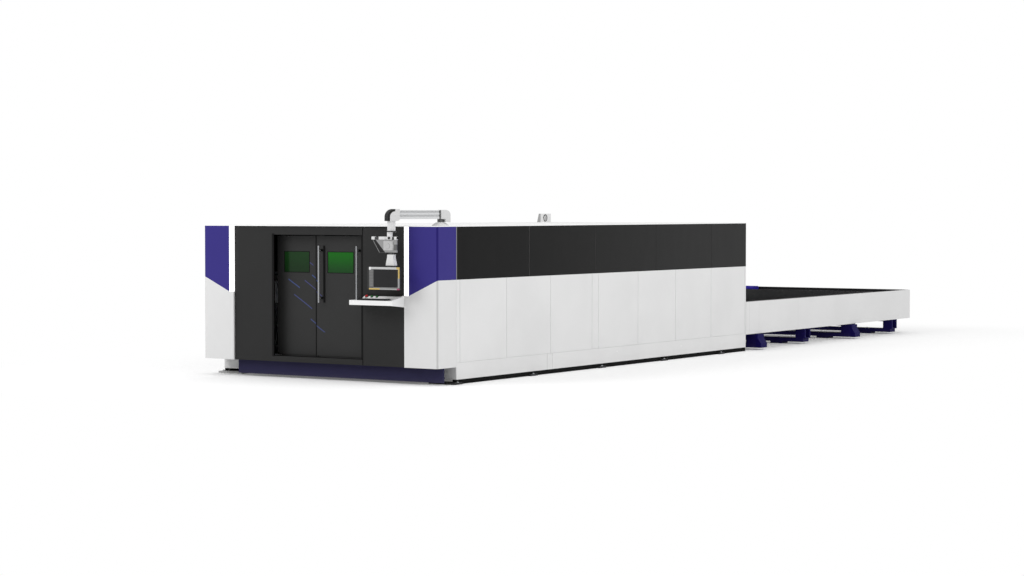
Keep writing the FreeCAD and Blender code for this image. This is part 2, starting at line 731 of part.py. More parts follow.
def cutting_head():
    """Cutting head: a housing over a turned barrel that steps down to the nozzle."""
    back = carriage_face - S.slide_gap
    zero = length(0)
    profile = [(zero, zero)]
    level = zero
    for radius, reach in ((S.nozzle_radius, S.nozzle_length), (S.sensor_radius, S.sensor_length),
                          (S.lens_radius, S.lens_length), (S.barrel_radius, S.barrel_length)):
        profile += [(radius, level), (radius, level + reach)]
        level = level + reach
    barrel_top = level
    profile.append((zero, barrel_top))
    tip = gantry_bottom - S.nozzle_drop
    barrel = place(turn_onto(new_body(), profile), 0, back - S.head_depth / 2, tip)
    housing = block((-S.head_width / 2, S.head_width / 2), (back - S.head_depth, back),
                    (tip + barrel_top, tip + barrel_top + S.head_height))
    node(fused([barrel, housing]), "cutting_head")


def pallet(name, deck, front):
    """Cutting pallet: a frame on rollers that carries upright slats with pointed teeth."""
    side = pallet_half - S.pallet_beam
    back = front + S.pallet_length
    body = new_body()
    outer = rectangle(-pallet_half, pallet_half, front, back)
    hollow = rectangle(-side, side, front + S.pallet_beam, back - S.pallet_beam)
    pad(body, draw(body, "XY", [outer, hollow]), S.beam_height)
    node(place(body, 0, 0, deck + S.beam_lift), name)

    # One slat is a strip on edge whose upper edge is a row of teeth; it slots in between
    # the side beams, and each slat is a piece of its own.
    root = S.slat_tip - S.tooth_height
    pitch = side * 2 / S.tooth_count
    edge = [(-side, S.slat_lift), (side, S.slat_lift), (side, root)]
    for count in range(SIZES["tooth_count"]):
        edge.append((side - pitch * (count + 0.5), S.slat_tip))
        edge.append((side - pitch * (count + 1), root))
    step = (S.pallet_length - S.pallet_beam * 2) / (S.slat_count + 1)
    slat_front = front + S.pallet_beam + step
    slats = new_body()
    slats.AllowCompound = True
    sketch = draw(slats, "XZ", [edge], -slat_front - S.slat_thickness)
    slat = pad(slats, sketch, S.slat_thickness)
    repeat(slats, [slat], "Y", step * (S.slat_count - 1), S.slat_count)
    node(place(slats, 0, 0, deck), name + "_slats")

    # Two rollers along each side run on the ledges of the bed and the table.
    centre = deck + S.roller_radius + S.roller_lift
    rollers = []
    for y in (front + S.roller_inset, back - S.roller_inset):
        roller = rod("x", (pallet_half, y, centre), S.roller_radius, S.roller_width)
        rollers += [roller, mirrored(roller)]
    node(group(rollers), name + "_rollers")


def leg_post(y, flared):
    """Return the right post of a leg frame: an open-sided box, or a post with a flared toe."""
    shoulder = half - S.leg_post
    foot_end = half - S.foot_beam_inset
    top = [(half, S.table_skirt_bottom), (inner, S.table_skirt_bottom), (inner, S.leg_top),
           (shoulder, S.leg_top), (shoulder, S.foot_beam_top)]
    plain = [(half, S.foot_beam_top)]
    toe = [(foot_end, S.foot_beam_top), (foot_end, S.base_gap),
           (half + S.flare_reach, S.base_gap),
           (half + S.flare_reach, S.toe_top), (half + S.flare_step, S.flare_knee),
           (half + S.flare_step, S.flare_top), (half, S.flare_top)]
    front = y - S.leg_depth / 2
    back = y + S.leg_depth / 2
    post = extrusion("XZ", [top + (toe if flared else plain)], front, back)
    if flared:
        return post
    recess = block((half - S.recess_depth, half),
                   (y - S.recess_width / 2, y + S.recess_width / 2),
                   (S.foot_beam_top + S.recess_rim, S.table_skirt_bottom - S.recess_drop))
    return without(post, [recess])


def leg_frames():
    """Leg frames of the table: foot beams, cross beams, and posts with flares on every other."""
    pitch = (S.table_length - S.first_leg - S.last_leg) / (S.leg_frames - 1)
    foot_end = half - S.foot_beam_inset
    shoulder = half - S.leg_post
    posts = []
    beams = []
    for number in range(SIZES["leg_frames"]):
        y = S.cabin_length + S.first_leg + pitch * number
        run = (y - S.leg_depth / 2, y + S.leg_depth / 2)
        foot = block((-foot_end, foot_end), run, (S.base_gap, S.foot_beam_top))
        near = shoulder - S.stand_inset
        stand = block((near, near + S.leg_depth), run, (length(0), S.base_gap))
        beams.append(fused([foot, stand, mirrored(stand)]))
        beams.append(block((-shoulder, shoulder), run, (S.leg_beam_bottom, S.leg_beam_top)))
        post = leg_post(y, number % 2 == 0)
        posts += [post, mirrored(post)]
    node(group(posts), "table_leg_posts")
    node(group(beams), "table_leg_beams")


def exchange_table():
    """Exchange table: leg frames, deck rails and folded skirts."""
    leg_frames()
    near = S.cabin_length + S.table_gap
    web_inner = bed_inner - S.rail_step
    web = web_inner + S.rail_web
    rail_top = S.leg_top - S.rail_drop
    section = decked(web_inner, web, S.leg_beam_top, rail_top)
    flange = [(web, rail_top - S.ledge_thickness),
              (web + S.rail_flange, rail_top - S.ledge_thickness),
              (web + S.rail_flange, rail_top)]
    section = section[:2] + flange + section[3:]
    rail = extrusion("XZ", [section], near, table_end - S.rail_end_gap)
    node(group([rail, mirrored(rail)]), "table_rails")

    skirt_top = S.leg_top + S.skirt_sheet
    fold_edge = inner - S.skirt_fold
    profile = [(inner, S.table_skirt_bottom), (half, S.table_skirt_bottom), (half, skirt_top),
               (fold_edge, skirt_top), (fold_edge, S.leg_top), (inner, S.leg_top)]
    pair(extrusion("XZ", [profile], near, table_end), "table_skirt")
    end = table_end - S.skin
    wall = block((-inner, inner), (end, table_end), (S.table_skirt_bottom, S.leg_top))
    lip = block((-fold_edge, fold_edge), (end - S.skirt_fold, table_end), (S.leg_top, skirt_top))
    node(fused([wall, lip]), "table_end_skirt")


def exchange_drive():
    """Drive housing of the pallet exchange, in the table's far left corner."""
    back = table_end - S.skin - S.skirt_fold
    front = table_end - S.skin - S.drive_depth
    top = S.leg_top + S.skirt_sheet + S.drive_rise
    bottom = top - S.drive_height
    crown = top - S.skin
    profile = [(front, bottom), (back, bottom), (back, crown), (back - S.skin, top),
               (front + S.skin, top), (front, crown)]
    left = S.skirt_fold - inner
    node(extrusion("YZ", [profile], left, left + S.drive_width), "exchange_drive")


def roof_port_box():
    """Narrow roof box near the rear left corner, with a round port that faces right."""
    right = S.port_box_inset - half
    left = right - S.port_box_width
    top = S.roof_height + S.port_box_height
    profile = [(left, S.roof_height), (right, S.roof_height), (right, top),
               (right - S.port_box_top, top)]
    front = S.cabin_length - S.port_box_setback
    box = extrusion("XZ", [profile], front, front + S.port_box_length)
    port = rod("x", (right - S.port_depth, front + S.port_offset,
                     S.roof_height + S.port_box_height / 2), S.port_radius, S.port_depth)
    node(without(box, [port]), "roof_port_box")


def console():
    """Shelf with a flared end cheek, a sloped button box and a keyboard."""
    bottom = shelf_top - S.shelf_thickness
    plan = rectangle(shelf_left, tower_inner, -S.shelf_reach, S.skin)
    board = new_body()
    pad(board, draw(board, "XY", [plan]), S.shelf_thickness)
    rounded(board, S.cheek_width,
            lambda edge: along(edge, "z", x=shelf_left, y=S.shelf_reach))
    settle(board, "XY", bottom, shelf_top)
    cheek = [(-S.shelf_reach, bottom), (0, bottom - S.cheek_drop),
             (S.skin, bottom - S.cheek_drop), (S.skin, strip_bottom), (0, strip_bottom),
             (-S.shelf_reach, shelf_top)]
    end = extrusion("YZ", [cheek], tower_inner - S.cheek_width, tower_inner)
    node(fused([board, end]), "console_shelf")

    box_front = S.skin - S.box_reach
    slope_top = S.skin - S.box_flat
    profile = [(box_front, shelf_top), (S.skin, shelf_top),
               (S.skin, shelf_top + S.box_back), (slope_top, shelf_top + S.box_back),
               (box_front, shelf_top + S.box_front)]
    box = extrusion("YZ", [profile], box_left, tower_inner - S.cheek_width)
    wells = []
    for x in button_places():
        well = new_body()
        opening = draw(well, "XY", [square(S.stem_half + S.button_gap)], -S.well_depth)
        pad(well, opening, S.well_depth)
        wells.append(seat_on_slope(well, x))
    node(without(box, wells), "button_box")
    left = shelf_left + S.keyboard_inset
    front = S.keyboard_margin - S.shelf_reach
    node(block((left, left + S.keyboard_width), (front, front + S.keyboard_depth),
               (shelf_top, shelf_top + S.keyboard_height)), "keyboard")


def button_places():
    """Return the places of the stop, start and reset buttons along the box."""
    return [box_left + S.button_inset + S.button_pitch * count for count in range(3)]


def seat_on_slope(piece, x):
    """Turn a piece square to the button box's slope and put it at the slope's middle."""
    run = S.box_reach - S.box_flat
    rise = S.box_back - S.box_front
    angle = Length("atan(%s / %s)" % (rise.text, run.text),
                   math.degrees(math.atan2(rise.value, run.value)))
    piece.Placement = FreeCAD.Placement(FreeCAD.Vector(),
                                        FreeCAD.Rotation(FreeCAD.Vector(1, 0, 0), angle.value))
    bind(piece, "Placement.Rotation.Angle", angle)
    return place(piece, x, S.skin - S.box_flat - run / 2, shelf_top + S.box_front + rise / 2)


def buttons():
    """Emergency stop with a mushroom head, and two push buttons, on square stems."""
    sizes = ((S.mushroom_radius, S.mushroom_height), (S.button_radius, S.button_rise),
             (S.button_radius, S.button_rise))
    names = ("stop_button", "start_button", "reset_button")
    for name, x, (radius, height) in zip(names, button_places(), sizes):
        body = new_body()
        stem = draw(body, "XY", [square(S.stem_half)], -S.stem_length)
        pad(body, stem, S.stem_length + S.button_rise)
        zero = length(0)
        turn_onto(body, [(zero, S.button_rise), (radius, S.button_rise),
                         (radius, S.button_rise + height), (zero, S.button_rise + height)])
        node(seat_on_slope(body, x), name)


def bore(body, x, level):
    """Cut the bore for a pivot pin upwards from a level of the body."""
    sketch = draw(body, "XY", [], level)
    radius = S.pin_radius + S.pin_clearance
    circle = sketch.addGeometry(Part.Circle(FreeCAD.Vector(x.value, 0, 0),
                                            FreeCAD.Vector(0, 0, 1), radius.value), False)
    rules = (("DistanceX", (-1, 1, circle, 3), x), ("DistanceY", (-1, 1, circle, 3), length(0)),
             ("Radius", (circle,), radius))
    for kind, where, size in rules:
        number = sketch.addConstraint(Sketcher.Constraint(kind, *where, size.value))
        sketch.setExpression("Constraints[%d]" % number, size.text)
    pocket(body, sketch, S.pin_length + S.running_gap)


def arm_place(body, x, y):
    """Turn a body to where the arm points, and put it at x, y."""
    body.Placement = FreeCAD.Placement(FreeCAD.Vector(), FreeCAD.Rotation(
        FreeCAD.Vector(0, 0, 1), S.arm_turn.value))
    bind(body, "Placement.Rotation.Angle", S.arm_turn)
    return place(body, x, y, 0)


def pendant_arm():
    """Tapered roof base with a joint ring and pin, and the grooved arm with its two elbows."""
    zero = length(0)
    flange_top = S.roof_height + S.flange_height
    hub_top = S.roof_height + S.hub_height
    pin_top = arm_bottom + S.pin_length

    def flared(centre):
        """Return the base's outline, seen from one side, round its centre line."""
        right = [(centre + S.flange_half, S.roof_height), (centre + S.flange_half, flange_top),
                 (centre + S.hub_half, hub_top)]
        left = [(centre - S.hub_half, hub_top), (centre - S.flange_half, flange_top),
                (centre - S.flange_half, S.roof_height)]
        return right + left

    base = common(extrusion("XZ", [flared(pivot_x)], pivot_y - S.flange_half,
                            pivot_y + S.flange_half),
                  extrusion("YZ", [flared(pivot_y)], pivot_x - S.flange_half,
                            pivot_x + S.flange_half))
    profile = [(zero, hub_top), (S.ring_radius, hub_top), (S.ring_radius, arm_bottom),
               (S.pin_radius, arm_bottom), (S.pin_radius, pin_top), (zero, pin_top)]
    pivot = place(turn_onto(new_body(), profile), pivot_x, pivot_y, zero)
    node(fused([base, pivot]), "arm_base")

    # The arm is drawn along its own X from the pivot, then turned to where it points.
    deep = S.arm_width / 2
    arm_top = arm_bottom + S.arm_height
    right = [(deep, arm_bottom)]
    for count in range(SIZES["groove_count"]):
        low = arm_bottom + S.first_groove + S.groove_pitch * count
        right += [(deep, low), (deep - S.groove_depth, low),
                  (deep - S.groove_depth, low + S.groove_height), (deep, low + S.groove_height)]
    right.append((deep, arm_top))
    left = [(-u, v) for u, v in reversed(right)]
    body = new_body()
    pad(body, draw(body, "YZ", [right + left]), S.arm_length)

    cap_top = arm_top + S.cap_rise
    cap_bottom = arm_bottom - S.cap_drop
    cap = [(S.cap_lap, arm_bottom), (S.cap_lap, cap_top), (-S.cap_length, cap_top),
           (-S.cap_length, cap_bottom), (-S.cap_inner, cap_bottom), (-S.cap_inner, arm_bottom)]
    elbow_top = arm_top + S.elbow_rise
    tip = S.arm_length + S.elbow_outside
    waist = S.arm_length - S.elbow_inside
    elbow = [(waist, elbow_top), (waist, arm_bottom), (S.arm_length - S.elbow_foot, tube_top),
             (tip, tube_top), (tip, elbow_top)]
    for outline in (cap, elbow):
        pad(body, draw(body, "XZ", [outline], -S.elbow_width / 2), S.elbow_width)
    rounded(body, S.cap_round, lambda edge: along(edge, "y", x=S.cap_length, z=cap_top))
    rounded(body, S.elbow_round, lambda edge: along(edge, "y", x=tip, z=elbow_top))
    bore(body, zero, arm_bottom)
    node(arm_place(body, pivot_x, pivot_y), "swing_arm")


def drop_tube():
    """Square tube under the arm's free elbow, and the swivel that turns on a pin inside it."""
    body = new_body()
    outline = rectangle(-S.tube_half, S.tube_half, -S.tube_width / 2, S.tube_width / 2)
    pad(body, draw(body, "XY", [outline], tube_bottom), S.tube_length)
    rounded(body, S.tube_round, lambda edge: along(edge, "z"))
    bore(body, length(0), tube_bottom)
    node(arm_place(body, tube_x, tube_y), "drop_tube")

    zero = length(0)
    ring_bottom = tube_bottom - S.swivel_height
    pin_top = tube_bottom + S.pin_length
    profile = [(zero, ring_bottom), (S.swivel_radius, ring_bottom),
               (S.swivel_radius, tube_bottom), (S.pin_radius, tube_bottom),
               (S.pin_radius, pin_top), (zero, pin_top)]
    disc = place(turn_onto(new_body(), profile), tube_x, tube_y, zero)
    collar = rod("z", (tube_x - S.collar_shift, tube_y, bracket_top), S.collar_radius,
                 S.collar_length - S.swivel_height)
    node(fused([disc, collar]), "swivel_head")


def tilt_bracket():
    """Bracket: a top bar over a plate with a slanted stay, and a flared socket with a pin."""
    left = tube_x - S.bracket_left
    right = tube_x + S.bracket_right
    bar_bottom = bracket_top - S.bracket_bar
    deep = S.bracket_depth / 2
    bar = block((left, right), (tube_y - deep, tube_y + deep), (bar_bottom, bracket_top))
    # A slanted gap parts the stay along the plate's left edge from the plate itself.
    stay = left + S.stay_step
    stay_foot = stay + S.stay_slope
    plate_left = left + S.bracket_step
    plate = [(stay, bracket_top), (right, bracket_top), (right, bracket_bottom),
             (stay_foot, bracket_bottom), (stay, bar_bottom)]
    gap_bottom = bracket_bottom + S.stay_foot
    gap = [(stay + S.stay_width, bar_bottom), (stay_foot + S.stay_width, gap_bottom),
           (plate_left + S.bracket_slope, gap_bottom), (plate_left, bar_bottom)]
    web = extrusion("XZ", [plate, gap], tube_y - S.bracket_web / 2, tube_y + S.bracket_web / 2)
    neck = block((tube_x - S.collar_radius, tube_x + S.collar_radius),
                 (tube_y - deep, tube_y + deep), (socket_top, bracket_bottom))
    flare = [(tube_x - S.socket_bottom_half, socket_bottom),
             (tube_x + S.socket_bottom_half, socket_bottom),
             (tube_x + S.socket_top_half, socket_top), (tube_x - S.socket_top_half, socket_top)]
    socket = extrusion("XZ", [flare], tube_y - S.socket_half_depth, tube_y + S.socket_half_depth)
    tilt = tilt_place()
    tongue = block((tube_x - S.tongue_half, tube_x + S.tongue_half),
                   (tilt[1] - S.tongue_depth / 2, tilt[1] + S.tongue_depth / 2),
                   (tilt[2] - S.ear_wall * 2, socket_bottom))
    pin = rod("x", tilt, S.tilt_pin_radius, tilt_span())
    node(fused([bar, web, neck, socket, tongue, pin]), "tilt_bracket")


def tilt_place():
    """Return the left end of the pin that the monitor tilts on."""
    return tube_x - tilt_span() / 2, tube_y - S.running_gap, socket_bottom - S.tilt_drop


def tilt_span():
    """Return the length of the tilt pin, which spans the tongue and both ears."""
    return (S.tongue_half + S.ear_gap + S.ear_thickness) * 2


def monitor():
    """Monitor housing with a sunk screen, a margin for keys and two ears on the tilt pin."""
    front = -S.pendant_reach
    back = front + S.screen_depth
    left = tube_x - S.screen_shift - S.screen_width / 2
    right = left + S.screen_width
    top = socket_bottom - S.screen_drop
    bottom = top - S.screen_height
    case = block((left, right), (front, back), (bottom, top))
    glass = block((left + S.screen_keys, right - S.screen_frame),
                  (front, front + S.screen_recess), (bottom + S.screen_frame,
                                                     top - S.screen_frame))
    x, y, z = tilt_place()
    ears = [block((low, low + S.ear_thickness), (back, y + S.ear_wall * 2),
                  (z - S.ear_drop, z + S.ear_wall * 2))
            for low in (x, tube_x + S.tongue_half + S.ear_gap)]
    hole = rod("x", (x, y, z), S.tilt_pin_radius + S.pin_clearance, tilt_span())
    node(without(fused([without(case, [glass])] + ears), [hole]), "monitor")


tower_pair()
front_face()
front_base()
doors()
side_cladding()
cabin_frames()
roof()
rear_wall()
levelling_feet()
bed()
gantry()
head_carriage()
cutting_head()
pallet("lower_pallet", S.lower_deck, S.cabin_length - S.pallet_setback - S.pallet_length)
pallet("upper_pallet", upper_deck,
       table_end - S.skin - S.drive_depth - S.pallet_clearance - S.pallet_length)
exchange_table()
exchange_drive()
roof_port_box()
console()
buttons()
pendant_arm()
drop_tube()
tilt_bracket()
monitor()

doc.recompute()
for item in doc.Objects:
    if "Invalid" in item.State or "Error" in item.State:
        raise RuntimeError("failed: %s (%s)" % (item.Label, item.TypeId))
for item in NODES:
    if item.Shape.isNull() or not item.Shape.isValid() or not item.Shape.Solids:
        raise RuntimeError("no valid solid: " + item.Label)
for item in NODES:
    item.Shape.exportStep("parts/%s.step" % item.Label)
print(len(NODES), "sub-parts written")
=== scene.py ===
"""Looks of an enclosed laser cutting machine with an exchange table, dressed round its CAD frame.

Sizes are in metres. X runs across the machine, Y from its front to its rear, and Z up.
"""
import json
import logging
import math
from dataclasses import dataclass
from enum import Enum
from functools import cached_property
from typing import Sequence

import bmesh
import bpy
from mathutils import Matrix, Vector


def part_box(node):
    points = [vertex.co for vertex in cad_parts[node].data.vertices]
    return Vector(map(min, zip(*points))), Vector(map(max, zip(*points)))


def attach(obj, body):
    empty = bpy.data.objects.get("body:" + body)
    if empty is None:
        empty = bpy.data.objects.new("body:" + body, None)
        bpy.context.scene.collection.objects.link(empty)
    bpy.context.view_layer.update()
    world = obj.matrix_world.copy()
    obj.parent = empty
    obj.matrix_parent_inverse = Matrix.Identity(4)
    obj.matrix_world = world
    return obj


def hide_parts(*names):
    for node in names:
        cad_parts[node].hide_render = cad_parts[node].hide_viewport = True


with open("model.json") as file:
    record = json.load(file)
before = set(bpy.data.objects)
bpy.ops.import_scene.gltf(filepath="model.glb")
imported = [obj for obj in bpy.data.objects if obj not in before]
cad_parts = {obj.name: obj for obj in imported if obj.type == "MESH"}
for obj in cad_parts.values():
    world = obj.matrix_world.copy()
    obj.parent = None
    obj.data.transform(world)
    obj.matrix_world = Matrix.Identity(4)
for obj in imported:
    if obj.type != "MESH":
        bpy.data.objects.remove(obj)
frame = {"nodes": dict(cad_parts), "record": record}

LOG = logging.getLogger("laser_cutter")
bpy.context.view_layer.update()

Colour = tuple[float, float, float]
Point = tuple[float, float, float]
Pair = tuple[float, float]
Profile = tuple[Pair, ...]
Span = tuple[float, float]
Socket = bpy.types.NodeSocket

FREE: Span = (-math.inf, math.inf)
WHITE = (1.0, 1.0, 1.0, 1.0)
UP = Vector((0, 0, 1))
RIGHT = Vector((1, 0, 0))
BACK = Vector((0, 1, 0))
FRONT = Vector((0, -1, 0))
ARM_TURN = math.radians(235.9)
PENDANT_AXIS: Pair = (1.566, -8.686)


class Body(Enum):
    """The bodies that this scene's own pieces ride on."""

    MACHINE = "machine"
    LEADING_DOOR = "leading_door"
    TRAILING_DOOR = "trailing_door"
    CARRIAGE = "carriage"
    HEAD = "head"
    LOWER_PALLET = "lower_pallet"
    UPPER_PALLET = "upper_pallet"
    ARM = "arm"
    PENDANT = "pendant"
    MONITOR = "monitor"


class Slot(Enum):
    """The record's material slots, one named where each of this scene's own pieces is built."""

    WHITE_PANEL = "white_panel"
    PURPLE_PANEL = "purple_panel"
    BLACK_PLASTIC = "black_plastic"
    FOOT_STEEL = "foot_steel"
    RAIL_STEEL = "rail_steel"
    SLAT_STEEL = "slat_steel"
    HANDLE_STEEL = "handle_steel"
    GANTRY_PAINT = "gantry_paint"
    ARM_ALUMINIUM = "arm_aluminium"
    BRACKET_GREY = "bracket_grey"


def srgb(code: str) -> Colour:
    """Turn a hex colour into linear light.

    Args:
        code: Six hex digits.

    Returns:
        Linear red, green and blue.
    """
    levels = [int(code[place:place + 2], 16) / 255 for place in (0, 2, 4)]
    red, green, blue = [level / 12.92 if level <= 0.04045 else ((level + 0.055) / 1.055) ** 2.4
                        for level in levels]
    return red, green, blue


def shaded(colour: Colour, factor: float) -> Colour:
    """Return a colour times a factor."""
    red, green, blue = (level * factor for level in colour)
    return red, green, blue


def below(level: float) -> Span:
    """Return the span under a level."""
    return -math.inf, level


def above(level: float) -> Span:
    """Return the span over a level."""
    return level, math.inf


@dataclass(frozen=True)
class Zone:
    """A part of a finish in another colour, between places along the machine's axes."""

    colour: Colour
    x: Span = FREE
    y: Span = FREE
    z: Span = FREE


# ---------------------------------------------------------------------------------------------
# Node trees and shader maths


class Nodes:
    """A node tree whose nodes all come from one method."""

    def __init__(self, tree: bpy.types.NodeTree) -> None:
        """Take over a tree."""
        self.tree = tree

    def node(self, kind: str, settings: dict[str, object], inputs: dict[object, object],
             output: object = 0) -> Socket:
        """Add a node.

        Args:
            kind: The node's type.
            settings: Its own settings, set before its sockets.
            inputs: Values, sockets or wires, by socket name or number.
            output: The name or number of the output that is returned.

        Returns:
            The node's output.
        """
        node = self.tree.nodes.new(kind)
        for name, value in settings.items():
            setattr(node, name, value)
        for key, value in inputs.items():
            source = value.socket if isinstance(value, Wire) else value
            if isinstance(source, Socket):
                self.tree.links.new(source, node.inputs[key])
            else:
                node.inputs[key].default_value = source
        return node.outputs[output]


class Wire:
    """An output socket that adds Math nodes when it is used in an expression."""

    def __init__(self, graph: "Graph", socket: Socket) -> None:
        """Wrap a socket of a graph."""
        self.graph = graph
        self.socket = socket

    def _math(self, operation: str, first: object, second: object = 0.0) -> "Wire":
        """Add one Math node and return its value."""
        return self.graph.add("ShaderNodeMath", {"operation": operation}, {0: first, 1: second})

    def __add__(self, other: object) -> "Wire":
        """Return the sum."""
        return self._math("ADD", self, other)

    def __radd__(self, other: object) -> "Wire":
        """Return the sum, with the number first."""
        return self._math("ADD", other, self)

    def __sub__(self, other: object) -> "Wire":
        """Return the difference."""
        return self._math("SUBTRACT", self, other)

    def __rsub__(self, other: object) -> "Wire":
        """Return the difference, with the number first."""
        return self._math("SUBTRACT", other, self)

    def __mul__(self, other: object) -> "Wire":
        """Return the product."""
        return self._math("MULTIPLY", self, other)

    def __rmul__(self, other: object) -> "Wire":
        """Return the product, with the number first."""
        return self._math("MULTIPLY", other, self)

    def __truediv__(self, other: object) -> "Wire":
        """Return the quotient."""
        return self._math("DIVIDE", self, other)

    def __rtruediv__(self, other: object) -> "Wire":
        """Return the quotient, with the number first."""
        return self._math("DIVIDE", other, self)

    def at_least(self, other: object) -> "Wire":
        """Return the larger value."""
        return self._math("MAXIMUM", self, other)

    def at_most(self, other: object) -> "Wire":
        """Return the smaller value."""
        return self._math("MINIMUM", self, other)

    def above(self, level: object) -> "Wire":
        """Return 1 where the value is over a level, and 0 elsewhere."""
        return self._math("GREATER_THAN", self, level)

    def below(self, level: object) -> "Wire":
        """Return 1 where the value is under a level, and 0 elsewhere."""
        return self._math("LESS_THAN", self, level)

    def between(self, span: Span) -> "Wire":
        """Find where the value lies in a span; an endless side needs no node.

        Args:
            span: The span's lower and upper end.

        Returns:
            1 in the span, and 0 elsewhere.
        """
        low, high = span
        if low == -math.inf:
            return self.below(high)
        if high == math.inf:
            return self.above(low)
        return self.above(low) * self.below(high)

    def size(self) -> "Wire":
        """Return the value without its sign."""
        return self._math("ABSOLUTE", self)

    def root(self) -> "Wire":
        """Return the square root."""
        return self._math("SQRT", self)

    def whole(self) -> "Wire":
        """Return the value rounded down."""
        return self._math("FLOOR", self)

    def part(self) -> "Wire":
        """Return the fraction of the value."""
        return self._math("FRACT", self)

    def ramp(self, low: float, high: float) -> "Wire":
        """Return 0 below low and 1 above high, with a smooth step between."""
        return self.graph.add("ShaderNodeMapRange", {"interpolation_type": "SMOOTHSTEP"},
                              {"Value": self, "From Min": low, "From Max": high})


class Graph(Nodes):
    """The shader tree of a material or of the world, from its first node to its surface."""

    clouds: Span = (0.35, 0.75)
    cloud_weight: float = 0.6

    def __init__(self, owner: bpy.types.Material | bpy.types.World,
                 output: str = "ShaderNodeOutputMaterial") -> None:
        """Empty a tree.

        Args:
            owner: The material or world that has the tree.
            output: The type of its output node.
        """
        owner.use_nodes = True
        super().__init__(owner.node_tree)
        self.owner = owner
        self.tree.nodes.clear()
        self.output = self.tree.nodes.new(output)

    @cached_property
    def place(self) -> Wire:
        """Return the place on the piece."""
        return self.add("ShaderNodeTexCoord", {}, {}, "Object")

    @cached_property
    def axes(self) -> tuple[Wire, Wire, Wire]:
        """Return the three coordinates of the place."""
        split = self.node("ShaderNodeSeparateXYZ", {}, {0: self.place}).node.outputs
        return Wire(self, split[0]), Wire(self, split[1]), Wire(self, split[2])

    def add(self, kind: str, settings: dict[str, object], inputs: dict[object, object],
            output: object = 0) -> Wire:
        """Add a node and return its output as a wire."""
        return Wire(self, self.node(kind, settings, inputs, output))

    def stretched(self, scale: Point) -> Wire:
        """Return the place scaled by a Mapping node."""
        return self.add("ShaderNodeMapping", {}, {"Vector": self.place, "Scale": scale})

    def noise(self, pattern: Pair, place: Wire | None = None) -> Wire:
        """Return the noise value of a pattern, which is a scale and a detail."""
        return self.add("ShaderNodeTexNoise", {}, {"Vector": place or self.place,
                                                   "Scale": pattern[0], "Detail": pattern[1]}, "Fac")

    def blend(self, factor: object, first: object, second: object) -> Wire:
        """Return a mix of two colours."""
        ends = [end if isinstance(end, Wire) else (*end, 1.0) for end in (first, second)]
        return self.add("ShaderNodeMix", {"data_type": "RGBA"}, {0: factor, 6: ends[0], 7: ends[1]}, 2)

    def clouded(self, colour: Colour, factor: float, pattern: Pair) -> Wire:
        """Return a colour that soft clouds darken by a factor."""
        cloud = self.noise(pattern).ramp(*self.clouds)
        return self.blend(cloud * self.cloud_weight, colour, shaded(colour, factor))

    def zoned(self, base: Wire, zones: Sequence[Zone]) -> Wire:
        """Lay zones over a colour.

        Args:
            base: The colour outside the zones.
            zones: The zones, from the lowest layer to the highest.

        Returns:
            The colour with each zone's own colour over it.
        """
        for zone in zones:
            mask = None
            for place, span in zip(self.axes, (zone.x, zone.y, zone.z)):
                if span != FREE:
                    inside = place.between(span)
                    mask = inside if mask is None else mask * inside
            base = self.blend(mask, base, zone.colour)
        return base

    def bump(self, height: Wire, distance: float) -> Wire:
        """Return a normal that follows a height."""
        return self.add("ShaderNodeBump", {}, {"Height": height, "Distance": distance,
                                               "Strength": 1.0})

    def end(self, surface: Wire) -> bpy.types.Material | bpy.types.World:
        """Link the surface to the output and return the tree's owner."""
        self.tree.links.new(surface.socket, self.output.inputs["Surface"])
        return self.owner

    def principled(self, inputs: dict[str, object]) -> bpy.types.Material:
        """Finish the material with one Principled surface and return it."""
        return self.end(self.add("ShaderNodeBsdfPrincipled", {}, inputs))


# ---------------------------------------------------------------------------------------------
# Finishes

PEEL: Pair = (420.0, 2.0)
PEEL_DEPTH = 0.0004
PAINT_STREAKS = 0.12
MOULD_GRAIN: Pair = (900.0, 2.0)
LINE_DEPTH = 0.0003
DIRT = srgb("8d877c")


@dataclass(frozen=True)
class Finish:
    """A finish of the machine; each kind makes its own material."""

    name: str

    def graph(self) -> Graph:
        """Return the empty tree of a new material with this finish's name."""
        return Graph(bpy.data.materials.new(self.name))

    def material(self) -> bpy.types.Material:
        """Return the finish's material."""
        raise NotImplementedError


@dataclass(frozen=True)
class PowderCoat(Finish):
    """Baked powder paint on sheet steel, with a faint orange peel and a little floor dust.

    The colour can fade to a rear one over a length, as painted light. Cloud and smear are noise
    patterns.
    """

    colour: Colour
    roughness: float = 0.45
    gloss: float = 0.2
    shade: float = 0.08
    dust: float = 0.08
    dust_height: float = 0.3
    rear: Colour | None = None
    length: Span = (-8.4, 1.3)
    zones: tuple[Zone, ...] = ()
    cloud: Pair = (0.9, 4.0)
    smear: Pair = (6.0, 5.0)
    streaks: Point = (1.0, 1.0, 0.25)

    def material(self) -> bpy.types.Material:
        """Mix the paint.

        Returns:
            The paint's material.
        """
        graph = self.graph()
        smear = graph.noise(self.smear, graph.stretched(self.streaks))
        base = graph.clouded(self.colour, 1.0 - self.shade, self.cloud)
        # painted light: the colour fades along the machine to the rear one
        if self.rear is not None:
            base = graph.blend(graph.axes[1].ramp(*self.length), base, self.rear)
        low = 1.0 - graph.axes[2].ramp(0.0, self.dust_height)
        base = graph.blend(low * smear * self.dust, base, DIRT)
        return graph.principled({
            "Base Color": graph.zoned(base, self.zones),
            "Roughness": self.roughness + (smear - 0.5) * PAINT_STREAKS,
            "Specular IOR Level": self.gloss,
            "Normal": graph.bump(graph.noise(PEEL), PEEL_DEPTH)})


